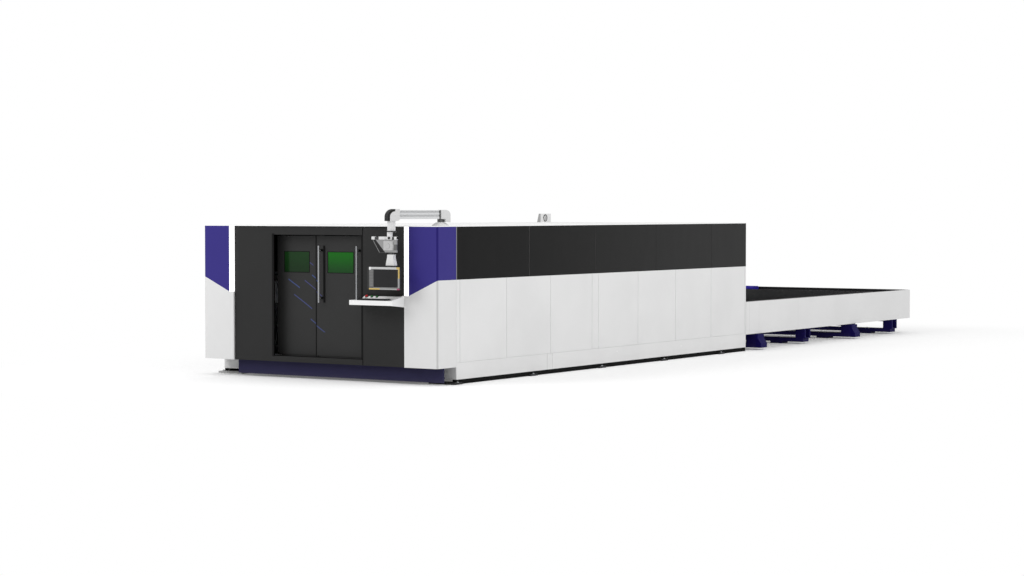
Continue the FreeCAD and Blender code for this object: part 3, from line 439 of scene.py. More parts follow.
@dataclass(frozen=True)
class DoorCoat(Finish):
    """Charcoal door paint with a printed pattern of thin blue dashes that run downhill.

    The dashes lie on sloping lanes, one pitch apart, and line is half their width as a share of it.
    Each starts up to the reach left of the machine's middle, and a share of them is left out.
    """

    colour: Colour
    blue: Colour
    violet: Colour
    pitch: float = 0.17
    slope: float = 0.62
    waviness: float = 0.06
    line: float = 0.06
    height: Span = (0.72, 1.78)
    reach: float = 0.95
    shortest: float = 0.12
    longest: float = 0.62
    left_out: float = 0.25
    seeds: Point = (0.37, 40.37, 80.37)
    waves: Pair = (1.1, 1.0)
    cloud: Pair = (0.8, 3.0)
    smear: Pair = (5.0, 5.0)
    shade: float = 0.1
    roughness: float = 0.42
    gloss: float = 0.2

    def material(self) -> bpy.types.Material:
        """Mix the paint and print the dashes.

        Returns:
            The door's material.
        """
        graph = self.graph()
        across, _, rise = graph.axes
        bend = graph.noise(self.waves) * self.waviness
        lane = (rise + across * self.slope + bend) / self.pitch
        chance = [graph.add("ShaderNodeTexWhiteNoise", {"noise_dimensions": "1D"},
                            {"W": lane.whole() + seed}) for seed in self.seeds]
        start = chance[0] * self.reach - self.reach
        end = start + self.shortest + chance[1] * (self.longest - self.shortest)
        width = (lane.part() - 0.5).size().below(self.line)
        dash = across.above(start) * across.below(end) * width
        dash = dash * rise.between(self.height) * chance[2].above(self.left_out)
        ink = graph.blend(chance[2], self.blue, self.violet)
        base = graph.clouded(self.colour, 1.0 - self.shade, self.cloud)
        smear = graph.noise(self.smear)
        return graph.principled({
            "Base Color": graph.blend(dash * (0.5 + smear * 0.5), base, ink),
            "Roughness": self.roughness + (smear - 0.5) * PAINT_STREAKS,
            "Specular IOR Level": self.gloss,
            "Normal": graph.bump(graph.noise(PEEL), PEEL_DEPTH)})


@dataclass(frozen=True)
class BareMetal(Finish):
    """Machined, ground or drawn metal; its lines are finest along the axis of the largest number."""

    colour: Colour
    roughness: float = 0.32
    lines: Point = (2.0, 2.0, 160.0)
    metallic: float = 1.0
    contrast: float = 0.28
    zones: tuple[Zone, ...] = ()
    grain: Pair = (3.0, 6.0)
    grain_weight: float = 0.7
    cloud: Pair = (7.0, 4.0)
    mottle: float = 0.2

    def lined(self, graph: Graph) -> tuple[Wire, Wire]:
        """Return the height of the fine lines, and the metal's colour with them."""
        grain = graph.noise(self.grain, graph.stretched(self.lines))
        return grain, graph.blend(grain * self.grain_weight, self.colour,
                                  shaded(self.colour, 1.0 - self.contrast))

    def material(self) -> bpy.types.Material:
        """Draw the lines and colour the zones.

        Returns:
            The metal's material.
        """
        graph = self.graph()
        grain, base = self.lined(graph)
        cloud = graph.noise(self.cloud)
        return graph.principled({
            "Base Color": graph.zoned(base, self.zones),
            "Metallic": self.metallic,
            "Roughness": self.roughness + (cloud - 0.5) * self.mottle,
            "Normal": graph.bump(grain, LINE_DEPTH)})


@dataclass(frozen=True)
class GroundRail(BareMetal):
    """Ground guide rail with dark plugs over its sunk screws."""

    plug: Colour = srgb("303236")
    plug_pitch: float = 0.12
    plug_radius: float = 0.0065
    plug_depth: float = 0.0004
    centre: float = 1.85

    def material(self) -> bpy.types.Material:
        """Draw the lines and the plugs.

        Returns:
            The rail's material.
        """
        graph = self.graph()
        across, along, _ = graph.axes
        grain, base = self.lined(graph)
        ahead = ((along / self.plug_pitch).part() - 0.5) * self.plug_pitch
        aside = across.size() - self.centre
        plug = (ahead * ahead + aside * aside).below(self.plug_radius ** 2)
        return graph.principled({
            "Base Color": graph.blend(plug, base, self.plug),
            "Metallic": 1.0 - plug,
            "Roughness": self.roughness + grain * 0.1,
            "Normal": graph.bump(grain - plug, self.plug_depth)})


@dataclass(frozen=True)
class ArmCoat(Finish):
    """Grey profile of the arm between two white elbows, with a dark cap, a joint ring and painted shade
    in its grooves.

    Ring and reach lie along the arm from its pivot, waist and tip before and past the reach, and
    heights over the pivot. Corner is the radius of the round end, and cap its dark shell's depth.
    """

    profile: Colour
    groove_shade: Colour
    elbow: Colour
    dark: Colour
    ring: Colour
    pivot: Point = (1.996, -8.05088, 2.442)
    turn: float = ARM_TURN
    reach: float = 0.767
    half_width: float = 0.065
    edge: float = 0.002
    groove_rise: Span = (0.003, 0.127)
    tip: float = 0.080
    waist: float = 0.107
    top: float = 0.147
    corner: float = 0.115
    cap: float = 0.034
    ring_start: float = 0.0145
    ring_width: float = 0.028
    lines: Point = (2.0, 2.0, 170.0)
    grain: Pair = (3.0, 5.0)

    def material(self) -> bpy.types.Material:
        """Colour the arm by the place along it.

        Returns:
            The arm's material.
        """
        graph = self.graph()
        x, y, z = graph.axes
        cos, sin = math.cos(self.turn), math.sin(self.turn)
        along = x * cos + y * sin - (self.pivot[0] * cos + self.pivot[1] * sin)
        aside = x * -sin + y * cos - (self.pivot[1] * cos - self.pivot[0] * sin)
        rise = z - self.pivot[2]
        ring_end = self.ring_start + self.ring_width
        grain = graph.noise(self.grain, graph.stretched(self.lines))
        metal = along.between((ring_end, self.reach - self.waist))
        deep = aside.size().below(self.half_width - self.edge) * rise.between(self.groove_rise)
        base = graph.blend(grain * 0.5, self.profile, shaded(self.profile, 0.86))
        # painted shade: the grooves along the profile's sides are darker
        base = graph.blend(deep, base, self.groove_shade)
        base = graph.blend(metal, self.elbow, base)
        base = graph.blend(along.between((self.ring_start, ring_end)), base, self.ring)
        start = self.reach + self.tip - self.corner
        over = (along - start).at_least(0.0)
        lift = (rise - (self.top - self.corner)).at_least(0.0)
        shell = (over * over + lift * lift).root().above(self.corner - self.cap) * along.above(start)
        return graph.principled({
            "Base Color": graph.blend(shell, base, self.dark),
            "Metallic": metal * 0.25,
            "Roughness": 0.42 + grain * 0.12 + shell * 0.15,
            "Specular IOR Level": 0.3,
            "Normal": graph.bump(grain, LINE_DEPTH)})


@dataclass(frozen=True)
class SlatSteel(Finish):
    """Plate steel of the pallet slats, with mill scale and spots of rust-brown slag."""

    colour: Colour
    slag: Colour
    scale: Pair = (9.0, 6.0)
    scale_edge: Span = (0.4, 0.7)
    crust: Pair = (60.0, 3.0)
    spots: Span = (0.58, 0.66)
    spot_height: float = 0.0012

    def material(self) -> bpy.types.Material:
        """Lay scale and slag over the steel.

        Returns:
            The slats' material.
        """
        graph = self.graph()
        scale = graph.noise(self.scale)
        crust = graph.noise(self.crust)
        slag = crust.ramp(*self.spots)
        base = graph.blend(scale.ramp(*self.scale_edge), self.colour, shaded(self.colour, 0.6))
        return graph.principled({
            "Base Color": graph.blend(slag * 0.7, base, self.slag),
            "Metallic": 0.6 - slag * 0.3,
            "Roughness": 0.42 + scale * 0.25,
            "Normal": graph.bump(crust, self.spot_height)})


@dataclass(frozen=True)
class Plastic(Finish):
    """Moulded plastic with a fine grain."""

    colour: Colour
    roughness: float = 0.5
    grain: float = 0.0002
    coat: float = 0.0
    gloss: float = 0.3
    cloud: Pair = (4.0, 4.0)

    def material(self) -> bpy.types.Material:
        """Mix the plastic.

        Returns:
            The plastic's material.
        """
        graph = self.graph()
        cloud = graph.noise(self.cloud)
        lighter = tuple(min(1.0, level * 1.12 + 0.004) for level in self.colour)
        return graph.principled({
            "Base Color": graph.blend(cloud * 0.8, self.colour, lighter),
            "Roughness": self.roughness + (cloud - 0.5) * 0.1,
            "Coat Weight": self.coat,
            "Specular IOR Level": self.gloss,
            "Normal": graph.bump(graph.noise(MOULD_GRAIN), self.grain)})


@dataclass(frozen=True)
class LaserPane(Finish):
    """Green laser-safe acrylic, lighter towards its upper edge with painted light."""

    high: Colour
    low: Colour
    height: Span = (1.62, 1.95)
    waves: Pair = (1.6, 2.0)
    gloss: float = 0.18

    def material(self) -> bpy.types.Material:
        """Blend the two greens by height.

        Returns:
            The pane's material.
        """
        graph = self.graph()
        wave = graph.noise(self.waves)
        rise = graph.axes[2].ramp(*self.height) + (wave - 0.5) * 0.25
        return graph.principled({
            "Base Color": graph.blend(rise.at_least(0.0).at_most(1.0), self.low, self.high),
            "Roughness": 0.12 + wave * 0.05,
            "Specular IOR Level": self.gloss})


@dataclass(frozen=True)
class Diffuser(Finish):
    """Opal diffuser with light behind it."""

    colour: Colour
    strength: float
    cloud: Pair = (12.0, 2.0)

    def material(self) -> bpy.types.Material:
        """Light the diffuser.

        Returns:
            The glowing material.
        """
        graph = self.graph()
        glow = graph.blend(graph.noise(self.cloud) * 0.15, self.colour, shaded(self.colour, 0.9))
        return graph.principled({
            "Base Color": glow,
            "Roughness": 0.35,
            "Emission Color": glow,
            "Emission Strength": self.strength})


@dataclass(frozen=True)
class PanelPlastic(Finish):
    """Moulded front of the monitor, with coloured corners and a field of flat keys."""

    colour: Colour
    key: Colour
    zones: tuple[Zone, ...]
    key_x: Span = (1.246, 1.313)
    key_z: Span = (1.456, 1.696)
    key_front: float = -8.79
    key_width: Span = (0.14, 0.86)
    key_height: float = 0.0012
    pitch: float = 0.02233
    cloud: Pair = (4.0, 4.0)
    gloss: float = 0.3

    def material(self) -> bpy.types.Material:
        """Colour the moulding and its keys.

        Returns:
            The moulding's material.
        """
        graph = self.graph()
        x, y, z = graph.axes
        cloud = graph.noise(self.cloud)
        cap = x.between(self.key_x) * z.between(self.key_z) * y.below(self.key_front)
        for place, (start, _) in ((x, self.key_x), (z, self.key_z)):
            cap = cap * ((place - start) / self.pitch).part().between(self.key_width)
        base = graph.blend(cloud * 0.8, self.colour, shaded(self.colour, 1.12))
        return graph.principled({
            "Base Color": graph.blend(cap, graph.zoned(base, self.zones), self.key),
            "Roughness": 0.5 - cap * 0.12 + (cloud - 0.5) * 0.1,
            "Specular IOR Level": self.gloss,
            "Normal": graph.bump(cap + graph.noise(MOULD_GRAIN) * 0.1, self.key_height)})


def wiped(name: str, code: str, roughness: float = 0.4, gloss: float = 0.2,
          zones: tuple[Zone, ...] = ()) -> PowderCoat:
    """Return a powder paint without dust, for a piece that is wiped clean or hangs high."""
    return PowderCoat(name, srgb(code), roughness, gloss, dust=0.0, zones=zones)


INK = srgb("181818")
SHADOW = srgb("0b0b0b")
DARK = srgb("303030")
SLATE = srgb("2a2a2a")
SAND = srgb("c6ac66")
SILVER = srgb("9a9a9a")

SEAM_WIDTH = 0.009
BAND_SEAMS = tuple(Zone(srgb(code), y=(start, start + SEAM_WIDTH)) for code, start in (
    ("6c6c6c", -6.0025), ("545454", -4.0195), ("3c3c3c", -2.0365), ("3c3c3c", -0.0535)))
BRACKET_ZONES = (
    Zone(srgb("8c8c8c"), x=below(1.669), z=(1.9535, 2.139)),  # cast plate
    Zone(srgb("b4b4b4"), x=(1.43, 1.60), z=(1.985, 2.12)),  # the plate's lit middle
    Zone(srgb("5a5a5a"), x=(1.62, 1.669), z=(1.985, 2.07)),  # the plate's shaded edge
    Zone(DARK, x=(1.278, 1.349), z=above(2.139)),  # bare bar between the first two clamps
    Zone(DARK, x=(1.590, 1.630), z=above(2.139)),  # bare bar between the last two clamps
    Zone(srgb("2c2c2c"), z=(1.9235, 1.9535)),  # bar under the plate
    Zone(DARK, z=below(1.761)))  # tilt block and pin
HOUSING_ZONES = (
    Zone(SLATE, x=above(1.318), z=(1.440, 1.708)),  # frame of the screen
    Zone(srgb("bcbcbc"), z=above(1.708)),  # upper edge
    Zone(srgb("e2e2e2"), x=below(1.272), z=above(1.700)),  # bright upper left corner
    Zone(srgb("a0a0a0"), z=below(1.430)),  # lower edge
    Zone(SILVER, x=(1.318, 1.778), z=(1.439, 1.4445)),  # line under the screen
    Zone(SILVER, x=(1.762, 1.778), z=(1.439, 1.575)),  # line beside the screen
    Zone(SAND, x=above(1.735), z=above(1.712)),  # upper right corner
    Zone(SAND, x=above(1.766), z=above(1.575)),  # right edge
    Zone(SAND, x=below(1.432), z=below(1.430)),  # lower left corner
    Zone(srgb("a04a68"), x=above(1.742), z=below(1.430)),  # lower right corner
    Zone(SLATE, x=below(1.238)),  # left side
    Zone(SLATE, y=above(-8.775)))  # back

FINISHES = {
    "white_panel": PowderCoat("white_coat", srgb("dedede")),
    "purple_panel": PowderCoat("purple_coat", srgb("352e7b"), 0.5, 0.15),
    "dark_panel": PowderCoat(
        "charcoal_coat", srgb("2b2b2b"), 0.6, 0.12, dust=0.03,
        zones=(Zone(SHADOW, y=above(-8.424)), Zone(SHADOW, x=(-0.892, -0.840), z=(0.330, 2.216)))),
    # painted light: the black band grows lighter towards the rear
    "black_band": PowderCoat(
        "black_coat", srgb("1c1c1c"), 0.6, 0.06, dust=0.0, rear=srgb("323232"),
        zones=(Zone(srgb("8a8a8a"), y=below(-7.970)), *BAND_SEAMS)),
    "navy_plate": PowderCoat("navy_coat", srgb("282644"), 0.6, 0.12, dust=0.1, dust_height=0.12),
    "leg_purple": PowderCoat(
        "leg_coat", srgb("18124a"), 0.5, 0.05, dust_height=0.15,
        # painted light and shade: the legs' two outer ends get their own tones of the leg paint
        zones=(Zone(srgb("130d4c"), x=above(2.236)), Zone(srgb("16104e"), x=below(-2.236)))),
    "bed_grey": PowderCoat("bed_coat", srgb("8c9094"), 0.55, dust=0.35, dust_height=1.0,
                           zones=(Zone(INK, z=below(0.1)),)),
    "pendant_white": wiped("pendant_coat", "e8e8e6", 0.35),
    "bracket_grey": BareMetal("bracket_coat", srgb("dadada"), 0.45, (9.0, 9.0, 30.0), 0.0, 0.12,
                              BRACKET_ZONES),
    "gantry_paint": PowderCoat("gantry_coat", srgb("d2d4d8"), 0.4, dust=0.1, dust_height=1.3),
    "rail_steel": GroundRail("ground_steel", srgb("c9cacc"), 0.22, (160.0, 2.0, 2.0)),
    "foot_steel": BareMetal("zinc_steel", srgb("2a2a2c"), 0.55, (14.0, 14.0, 14.0), 0.4,
                            # painted light: the left-hand feet get a light grey copy of the dark foot
                            # steel
                            zones=(Zone(srgb("a8a8a8"), x=below(0.0)),)),
    "handle_steel": BareMetal("satin_steel", srgb("b4b5b8"), 0.38, (40.0, 40.0, 2.0), 0.6),
    "head_metal": BareMetal(
        "head_aluminium", srgb("b9bcc2"), 0.3, (60.0, 60.0, 3.0),
        zones=(Zone(srgb("b8703c"), z=below(0.990)),  # copper nozzle
               Zone(srgb("e6e0d2"), z=(0.990, 1.018)),  # ceramic ring
               Zone(srgb("2c3038"), z=above(1.122)))),  # painted housing
    "slat_steel": SlatSteel("slat_steel", srgb("2d2e30"), srgb("33291f")),
    "pallet_frame": PowderCoat("pallet_coat", srgb("28282a"), 0.6, 0.12, dust=0.1, dust_height=1.2),
    # the two panes are one acrylic: the front one in a copy with painted light, the rear one in a copy
    # with painted shade
    "window_front": LaserPane("painted_light_pane", srgb("126012"), srgb("144018")),
    "window_rear": LaserPane("painted_shade_pane", srgb("153616"), srgb("112b12")),
    "light_strip": Diffuser("strip_diffuser", (1.0, 1.0, 1.0), 0.9),
    "black_plastic": Plastic("black_plastic", srgb("17181a"), 0.55),
    "screen_housing": PanelPlastic("housing_plastic", srgb("5c5c5c"), srgb("7c7c7c"), HOUSING_ZONES),
    "red_button": Plastic("red_plastic", srgb("b01518"), 0.3, coat=0.4),
    "green_button": Plastic("green_plastic", srgb("246a2c"), 0.3, coat=0.4),
}

TOWER_EDGE = 2.212
TOWER_FRONT = -8.440


def shaded_tower_edges(code: str) -> tuple[Zone, ...]:
    """Return the zones of the towers' rounded front edges, darkened with painted shade."""
    return tuple(Zone(srgb(code), x=side, y=below(TOWER_FRONT))
                 for side in (above(TOWER_EDGE), below(-TOWER_EDGE)))


# painted shade on the inner faces of the table skirts
SKIRT_SHADE_SPANS = {"table_skirt_right": {"x": below(2.22)}, "table_skirt_left": {"x": above(-2.22)},
                 "table_end_skirt": {"y": below(8.78)}}
SKIRT_SEAMS = tuple(Zone(srgb("c4c4c4"), y=(y, y + 0.005), z=below(0.894))
                    for y in (1.434, 1.816, 3.448))
DOOR_COAT = DoorCoat("door_coat", srgb("2b2b2b"), srgb("38568f"), srgb("403c66"))
NODE_FINISHES = {
    "leading_leaf": DOOR_COAT,
    "trailing_leaf": DOOR_COAT,
    "swing_arm": ArmCoat("arm_coat", profile=srgb("d4d5d6"), groove_shade=srgb("c4c5c6"),
                         elbow=srgb("d2d2d2"), dark=srgb("101010"), ring=srgb("6c6c6c")),
    "roof": wiped("roof_coat", "f8f8f8", 0.45),
    "console_shelf": wiped("console_coat", "ededed"),
    "button_box": wiped("button_box_coat", "e8e8e8", zones=(Zone(INK, z=above(1.299)),)),
    "drop_tube": wiped("tube_coat", "dcdcdc", 0.35),
    "arm_base": wiped("base_coat", "e4e4e4", 0.35, zones=(Zone(srgb("5c5c5c"), z=above(2.396)),)),
    "swivel_head": wiped("swivel_coat", "e4e4e4", 0.35, zones=(Zone(INK, z=above(2.253)),)),
    "door_sill": wiped("sill_coat", "101010", 0.6, 0.12),
    "door_track": wiped("track_coat", "101010", 0.6, 0.12),
    # painted shade: the port box's front face is darker
    "roof_port_box": wiped("port_coat", "e2e2e2", zones=(Zone(srgb("a0a0a0"), y=below(0.6)),)),
    "exchange_drive": wiped("drive_coat", "2c2290", 0.5, 0.15),
    "table_rails": PowderCoat("deck_coat", srgb("242426"), 0.6, 0.1, dust=0.02, dust_height=1.0),
    **dict.fromkeys(("tower_upper_left", "tower_upper_right"),
                    PowderCoat("upper_tower_coat", srgb("352e7b"), 0.5, 0.12,
                               zones=shaded_tower_edges("221a66"))),
    **dict.fromkeys(("tower_lower_left", "tower_lower_right"),
                    PowderCoat("lower_tower_coat", srgb("dadada"), zones=shaded_tower_edges("c0c0c0"))),
    # table skirts with painted shade on their inner faces, and their seams
    **{name: PowderCoat(name + "_coat", srgb("dedede"), zones=(
        Zone(srgb("222225"), **inside), *(SKIRT_SEAMS if "x" in inside else ())))
       for name, inside in SKIRT_SHADE_SPANS.items()},
}
RUBBER = Plastic("rubber", srgb("101010"), 0.75, grain=0.0004, gloss=0.05)
SCREEN = Plastic("screen_glass", srgb("262627"), 0.3, grain=0.0, gloss=0.1)
KEYS = Plastic("key_plastic", srgb("2c2d30"), 0.5)
ZINC = BareMetal("bolt_zinc", srgb("c4c6ca"), 0.3, (20.0, 20.0, 20.0), 0.6)
RACK_STEEL = BareMetal("rack_steel", srgb("9a9ca0"), 0.4, (3.0, 60.0, 60.0))
STRIP_COAT = wiped("joint_strip_coat", "f2f2f2")

_made: dict[str, bpy.types.Material] = {}


def finish(kind: Finish) -> bpy.types.Material:
    """Make a finish's material, once.

    Args:
        kind: The finish.

    Returns:
        Its material.
    """
    if kind.name not in _made:
        _made[kind.name] = kind.material()
    return _made[kind.name]


# ---------------------------------------------------------------------------------------------
# Pieces and solids


def as_object(name: str, mesh: bpy.types.Mesh, coat: Finish, body: Body) -> bpy.types.Object:
    """Link a mesh as a piece of the machine.

    Args:
        name: The piece's name.
        mesh: Its mesh, in place.
        coat: The finish that it gets.
        body: The body that it rides on.

    Returns:
        The new object.
    """
    piece = bpy.data.objects.new(name, mesh)
    bpy.context.scene.collection.objects.link(piece)
    mesh.materials.clear()
    mesh.materials.append(finish(coat))
    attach(piece, body.value)
    LOG.info("%s: %d faces", name, len(mesh.polygons))
    return piece


class Solids:
    """Closed solids that become the mesh of one piece."""

    bevel_steps: int = 2
    tiny: float = 1e-7
    merge_distance: float = 1e-6
    sharp_angle: float = math.radians(35)

    def __init__(self) -> None:
        """Start without a solid."""
        self.work = bmesh.new()

    def box(self, low: Sequence[float], high: Sequence[float], bevel: float = 0.0) -> None:
        """Add a box.

        Args:
            low: Its lowest corner.
            high: Its highest corner.
            bevel: The width of its bevelled edges.
        """
        size = [top - bottom for bottom, top in zip(low, high)]
        middle = [(top + bottom) / 2 for bottom, top in zip(low, high)]
        place = Matrix.Translation(middle) @ Matrix.Diagonal((*size, 1.0))
        made = bmesh.ops.create_cube(self.work, size=1.0, matrix=place)
        if bevel > 0:
            edges = {edge for vert in made["verts"] for edge in vert.link_edges}
            bmesh.ops.bevel(self.work, geom=list(edges), offset=bevel, segments=self.bevel_steps,
                            affect="EDGES", profile=0.5)

    def rim(self, low: Pair, high: Pair, width: float, depth: Span) -> None:
        """Add four bars that frame an upright rectangle.

        Args:
            low: Its lowest outer corner, across the machine and up.
            high: Its highest outer corner.
            width: The width of the bars.
            depth: Where the bars start and end along the machine.
        """
        (left, bottom), (right, top) = low, high
        for x, z in (((left, right), (bottom, bottom + width)), ((left, right), (top - width, top)),
                     ((left, left + width), (bottom + width, top - width)),
                     ((right - width, right), (bottom + width, top - width))):
            self.box((x[0], depth[0], z[0]), (x[1], depth[1], z[1]))

    def prism(self, outline: Sequence[Point], reach: Vector) -> None:
        """Add an outline pushed along a vector.

        Args:
            outline: The corners of its first face.
            reach: The way to its second face.
        """
        first = [self.work.verts.new(point) for point in outline]
        second = [self.work.verts.new(vert.co + reach) for vert in first]
        self.loft((first, second))

    def loft(self, rows: Sequence[Sequence[bmesh.types.BMVert]]) -> None:
        """Close a solid round rows of corners.

        Args:
            rows: The corners of each section, the same number in each.
        """
        for near, far in zip(rows, rows[1:]):
            for side in range(len(near)):
                after = (side + 1) % len(near)
                self.work.faces.new((near[side], near[after], far[after], far[side]))
        self.work.faces.new(rows[0])
        self.work.faces.new(rows[-1][::-1])

    def turned(self, profile: Sequence[Pair], at: Point, axis: Vector, sides: int = 32) -> None:
        """Add a solid of revolution.

        Args:
            profile: Radius and height pairs, from pole to pole or round a ring's section.
            at: The place of height zero.
            axis: The direction of the turning axis.
            sides: The number of sides round the axis.
        """
        turn = UP.rotation_difference(axis.normalized()).to_matrix().to_4x4()
        place = Matrix.Translation(at) @ turn
        rings = []
        for radius, height in profile:
            steps = range(sides if radius > self.tiny else 1)
            angles = [2 * math.pi * step / sides for step in steps]
            rings.append([self.work.verts.new(place @ Vector((
                radius * math.cos(angle), radius * math.sin(angle), height))) for angle in angles])
        if profile[0][0] > self.tiny:
            rings.append(rings[0])
        for low, high in zip(rings, rings[1:]):
            for side in range(sides):
                after = (side + 1) % sides
                corners = dict.fromkeys((low[side % len(low)], low[after % len(low)],
                                         high[after % len(high)], high[side % len(high)]))
                if len(corners) > 2:
                    self.work.faces.new(tuple(corners))

    def rod(self, radius: float, length: float, at: Point, axis: Vector, sides: int = 32) -> None:
        """Add a plain round rod, as turned does."""
        self.turned(((0, 0), (radius, 0), (radius, length), (0, length)), at, axis, sides)

    def mesh(self, name: str, smooth: bool = False) -> bpy.types.Mesh:
        """Close the work and turn its faces outwards.

        Args:
            name: The mesh's name.
            smooth: Whether curved faces are shaded smooth.

        Returns:
            The finished mesh.
        """
        bmesh.ops.remove_doubles(self.work, verts=self.work.verts, dist=self.merge_distance)
        bmesh.ops.recalc_face_normals(self.work, faces=self.work.faces)
        mesh = bpy.data.meshes.new(name)
        self.work.to_mesh(mesh)
        self.work.free()
        if smooth:
            mesh.shade_smooth()
            mesh.set_sharp_from_angle(angle=self.sharp_angle)
        return mesh

    def piece(self, name: str, coat: Finish, body: Body, slot: Slot,
              smooth: bool = False) -> bpy.types.Object:
        """Return the solids as a piece, linked as as_object does."""
        return as_object(name, self.mesh(name, smooth), coat, body)


# ---------------------------------------------------------------------------------------------
# Geometry Nodes


class MeshTree(Nodes):
    """A Geometry Nodes tree with named inputs, which ends in a plain mesh."""

    kinds = {int: "NodeSocketInt", float: "NodeSocketFloat", tuple: "NodeSocketVector"}

    def __init__(self, name: str, inputs: dict[str, int | float | Point]) -> None:
        """Start a tree.

        Args:
            name: The tree's name.
            inputs: The value of each named input.
        """
        super().__init__(bpy.data.node_groups.new(name, "GeometryNodeTree"))
        face = self.tree.interface
        face.new_socket("Geometry", in_out="INPUT", socket_type="NodeSocketGeometry")
        self.values = {}
        for label, value in inputs.items():
            socket = face.new_socket(label, in_out="INPUT", socket_type=self.kinds[type(value)])
            self.values[socket.identifier] = value
        face.new_socket("Geometry", in_out="OUTPUT", socket_type="NodeSocketGeometry")
        self.given = self.tree.nodes.new("NodeGroupInput").outputs
        self.output = self.tree.nodes.new("NodeGroupOutput")

    def placed(self, part: Socket, offset: Point, turn: Point = (0.0, 0.0, 0.0),
               scale: Point = (1.0, 1.0, 1.0)) -> Socket:
        """Return a part moved, turned and scaled by a Transform node."""
        return self.node("GeometryNodeTransform", {}, {"Geometry": part, "Translation": offset,
                                                       "Rotation": turn, "Scale": scale})

    def joined(self, *parts: Socket) -> Socket:
        """Join parts.

        Args:
            parts: The parts.

        Returns:
            All of them as one.
        """
        whole = self.node("GeometryNodeJoinGeometry", {}, {})
        for part in parts:
            self.tree.links.new(part, whole.node.inputs[0])
        return whole

    def line(self, count: str, pitch: str, start: Point) -> Socket:
        """Return points in a line, by the names of the inputs for their count and pitch."""
        return self.node("GeometryNodeMeshLine", {"mode": "OFFSET"},
                         {"Count": self.given[count], "Start Location": start,
                          "Offset": self.given[pitch]})

    def grid(self, width: object, depth: object) -> Socket:
        """Return the points of a grid with the inputs Columns and Rows."""
        return self.node("GeometryNodeMeshGrid", {},
                         {"Size X": width, "Size Y": depth, "Vertices X": self.given["Columns"],
                          "Vertices Y": self.given["Rows"]})

    def spread(self, points: Socket, part: Socket) -> Socket:
        """Return a copy of a part on every point."""
        return self.node("GeometryNodeInstanceOnPoints", {}, {"Points": points, "Instance": part})

    def result(self, name: str, geometry: Socket, coat: Finish) -> bpy.types.Mesh:
        """End the tree in Realize Instances and Set Material, and run it on an empty object.

        Args:
            name: The mesh's name.
            geometry: The tree's last part.
            coat: The finish that it gets.

        Returns:
            The result as a plain mesh.
        """
        real = self.node("GeometryNodeRealizeInstances", {}, {0: geometry})
        dressed = self.node("GeometryNodeSetMaterial", {}, {0: real, "Material": finish(coat)})
        self.tree.links.new(dressed, self.output.inputs[0])
        holder = bpy.data.objects.new(name, bpy.data.meshes.new(name))
        bpy.context.scene.collection.objects.link(holder)
        modifier = holder.modifiers.new("Nodes", "NODES")
        modifier.node_group = self.tree
        for identifier, value in self.values.items():
            modifier[identifier] = value
        evaluated = holder.evaluated_get(bpy.context.evaluated_depsgraph_get())
        mesh = bpy.data.meshes.new_from_object(evaluated)
        holder.modifiers.clear()
        bpy.data.objects.remove(holder)
        mesh.name = name
        return mesh


class Pattern:
    """Equal parts repeated round the origin by Geometry Nodes."""

    coat: Finish

    def mesh(self, name: str) -> bpy.types.Mesh:
        """Return the pattern's mesh."""
        raise NotImplementedError

    def moved(self, name: str, place: Matrix) -> bpy.types.Mesh:
        """Put the pattern's mesh in its place.

        Args:
            name: The mesh's name.
            place: The matrix from the origin to its place.

        Returns:
            The moved mesh.
        """
        mesh = self.mesh(name)
        mesh.transform(place)
        return mesh

    def piece(self, name: str, place: Matrix, body: Body, slot: Slot) -> bpy.types.Object:
        """Return the pattern as a piece, linked as as_object does."""
        return as_object(name, self.moved(name, place), self.coat, body)


@dataclass
class BoltGrid(Pattern):
    """Hex bolts on washers in a regular grid, standing along +Z."""

    rows: int
    columns: int
    row_pitch: float
    column_pitch: float
    across: float = 0.024
    head: float = 0.010
    washer: float = 0.004
    washer_radius: float = 0.85
    corner_radius: float = 0.577
    coat: Finish = ZINC

    def mesh(self, name: str) -> bpy.types.Mesh:
        """Build one bolt and spread it.

        Args:
            name: The mesh's name.

        Returns:
            The bolts round the origin.
        """
        tree = MeshTree(name, {"Rows": self.rows, "Columns": self.columns,
                                 "Depth": self.row_pitch * (self.rows - 1),
                                 "Width": self.column_pitch * (self.columns - 1),
                                 "Across": self.across, "Head": self.head})
        radius = tree.node("ShaderNodeMath", {"operation": "MULTIPLY"},
                           {0: tree.given["Across"], 1: self.corner_radius})
        hexagon = tree.node("GeometryNodeMeshCylinder", {},
                            {"Vertices": 6, "Radius": radius, "Depth": tree.given["Head"]})
        washer = tree.node("GeometryNodeMeshCylinder", {},
                           {"Vertices": 20, "Radius": self.across * self.washer_radius,
                            "Depth": self.washer})
        bolt = tree.joined(tree.placed(hexagon, (0.0, 0.0, self.washer + self.head / 2)),
                           tree.placed(washer, (0.0, 0.0, self.washer / 2)))
        grid = tree.grid(tree.given["Width"], tree.given["Depth"])
        return tree.result(name, tree.spread(grid, bolt), self.coat)


@dataclass
class KeyField(Pattern):
    """A field of low keys with small gaps, on the plane z = 0."""

    rows: int
    columns: int
    width: float
    depth: float
    gap: float
    height: float
    coat: Finish

    def mesh(self, name: str) -> bpy.types.Mesh:
        """Build one key and spread it.

        Args:
            name: The mesh's name.

        Returns:
            The keys round the origin.
        """
        key = (self.width / self.columns - self.gap, self.depth / self.rows - self.gap, self.height)
        tree = MeshTree(name, {"Rows": self.rows, "Columns": self.columns, "Key": key})
        cube = tree.node("GeometryNodeMeshCube", {}, {"Size": tree.given["Key"]})
        grid = tree.grid(self.width * (1 - 1 / self.columns), self.depth * (1 - 1 / self.rows))
        keys = tree.spread(grid, tree.placed(cube, (0.0, 0.0, self.height / 2)))
        return tree.result(name, keys, self.coat)


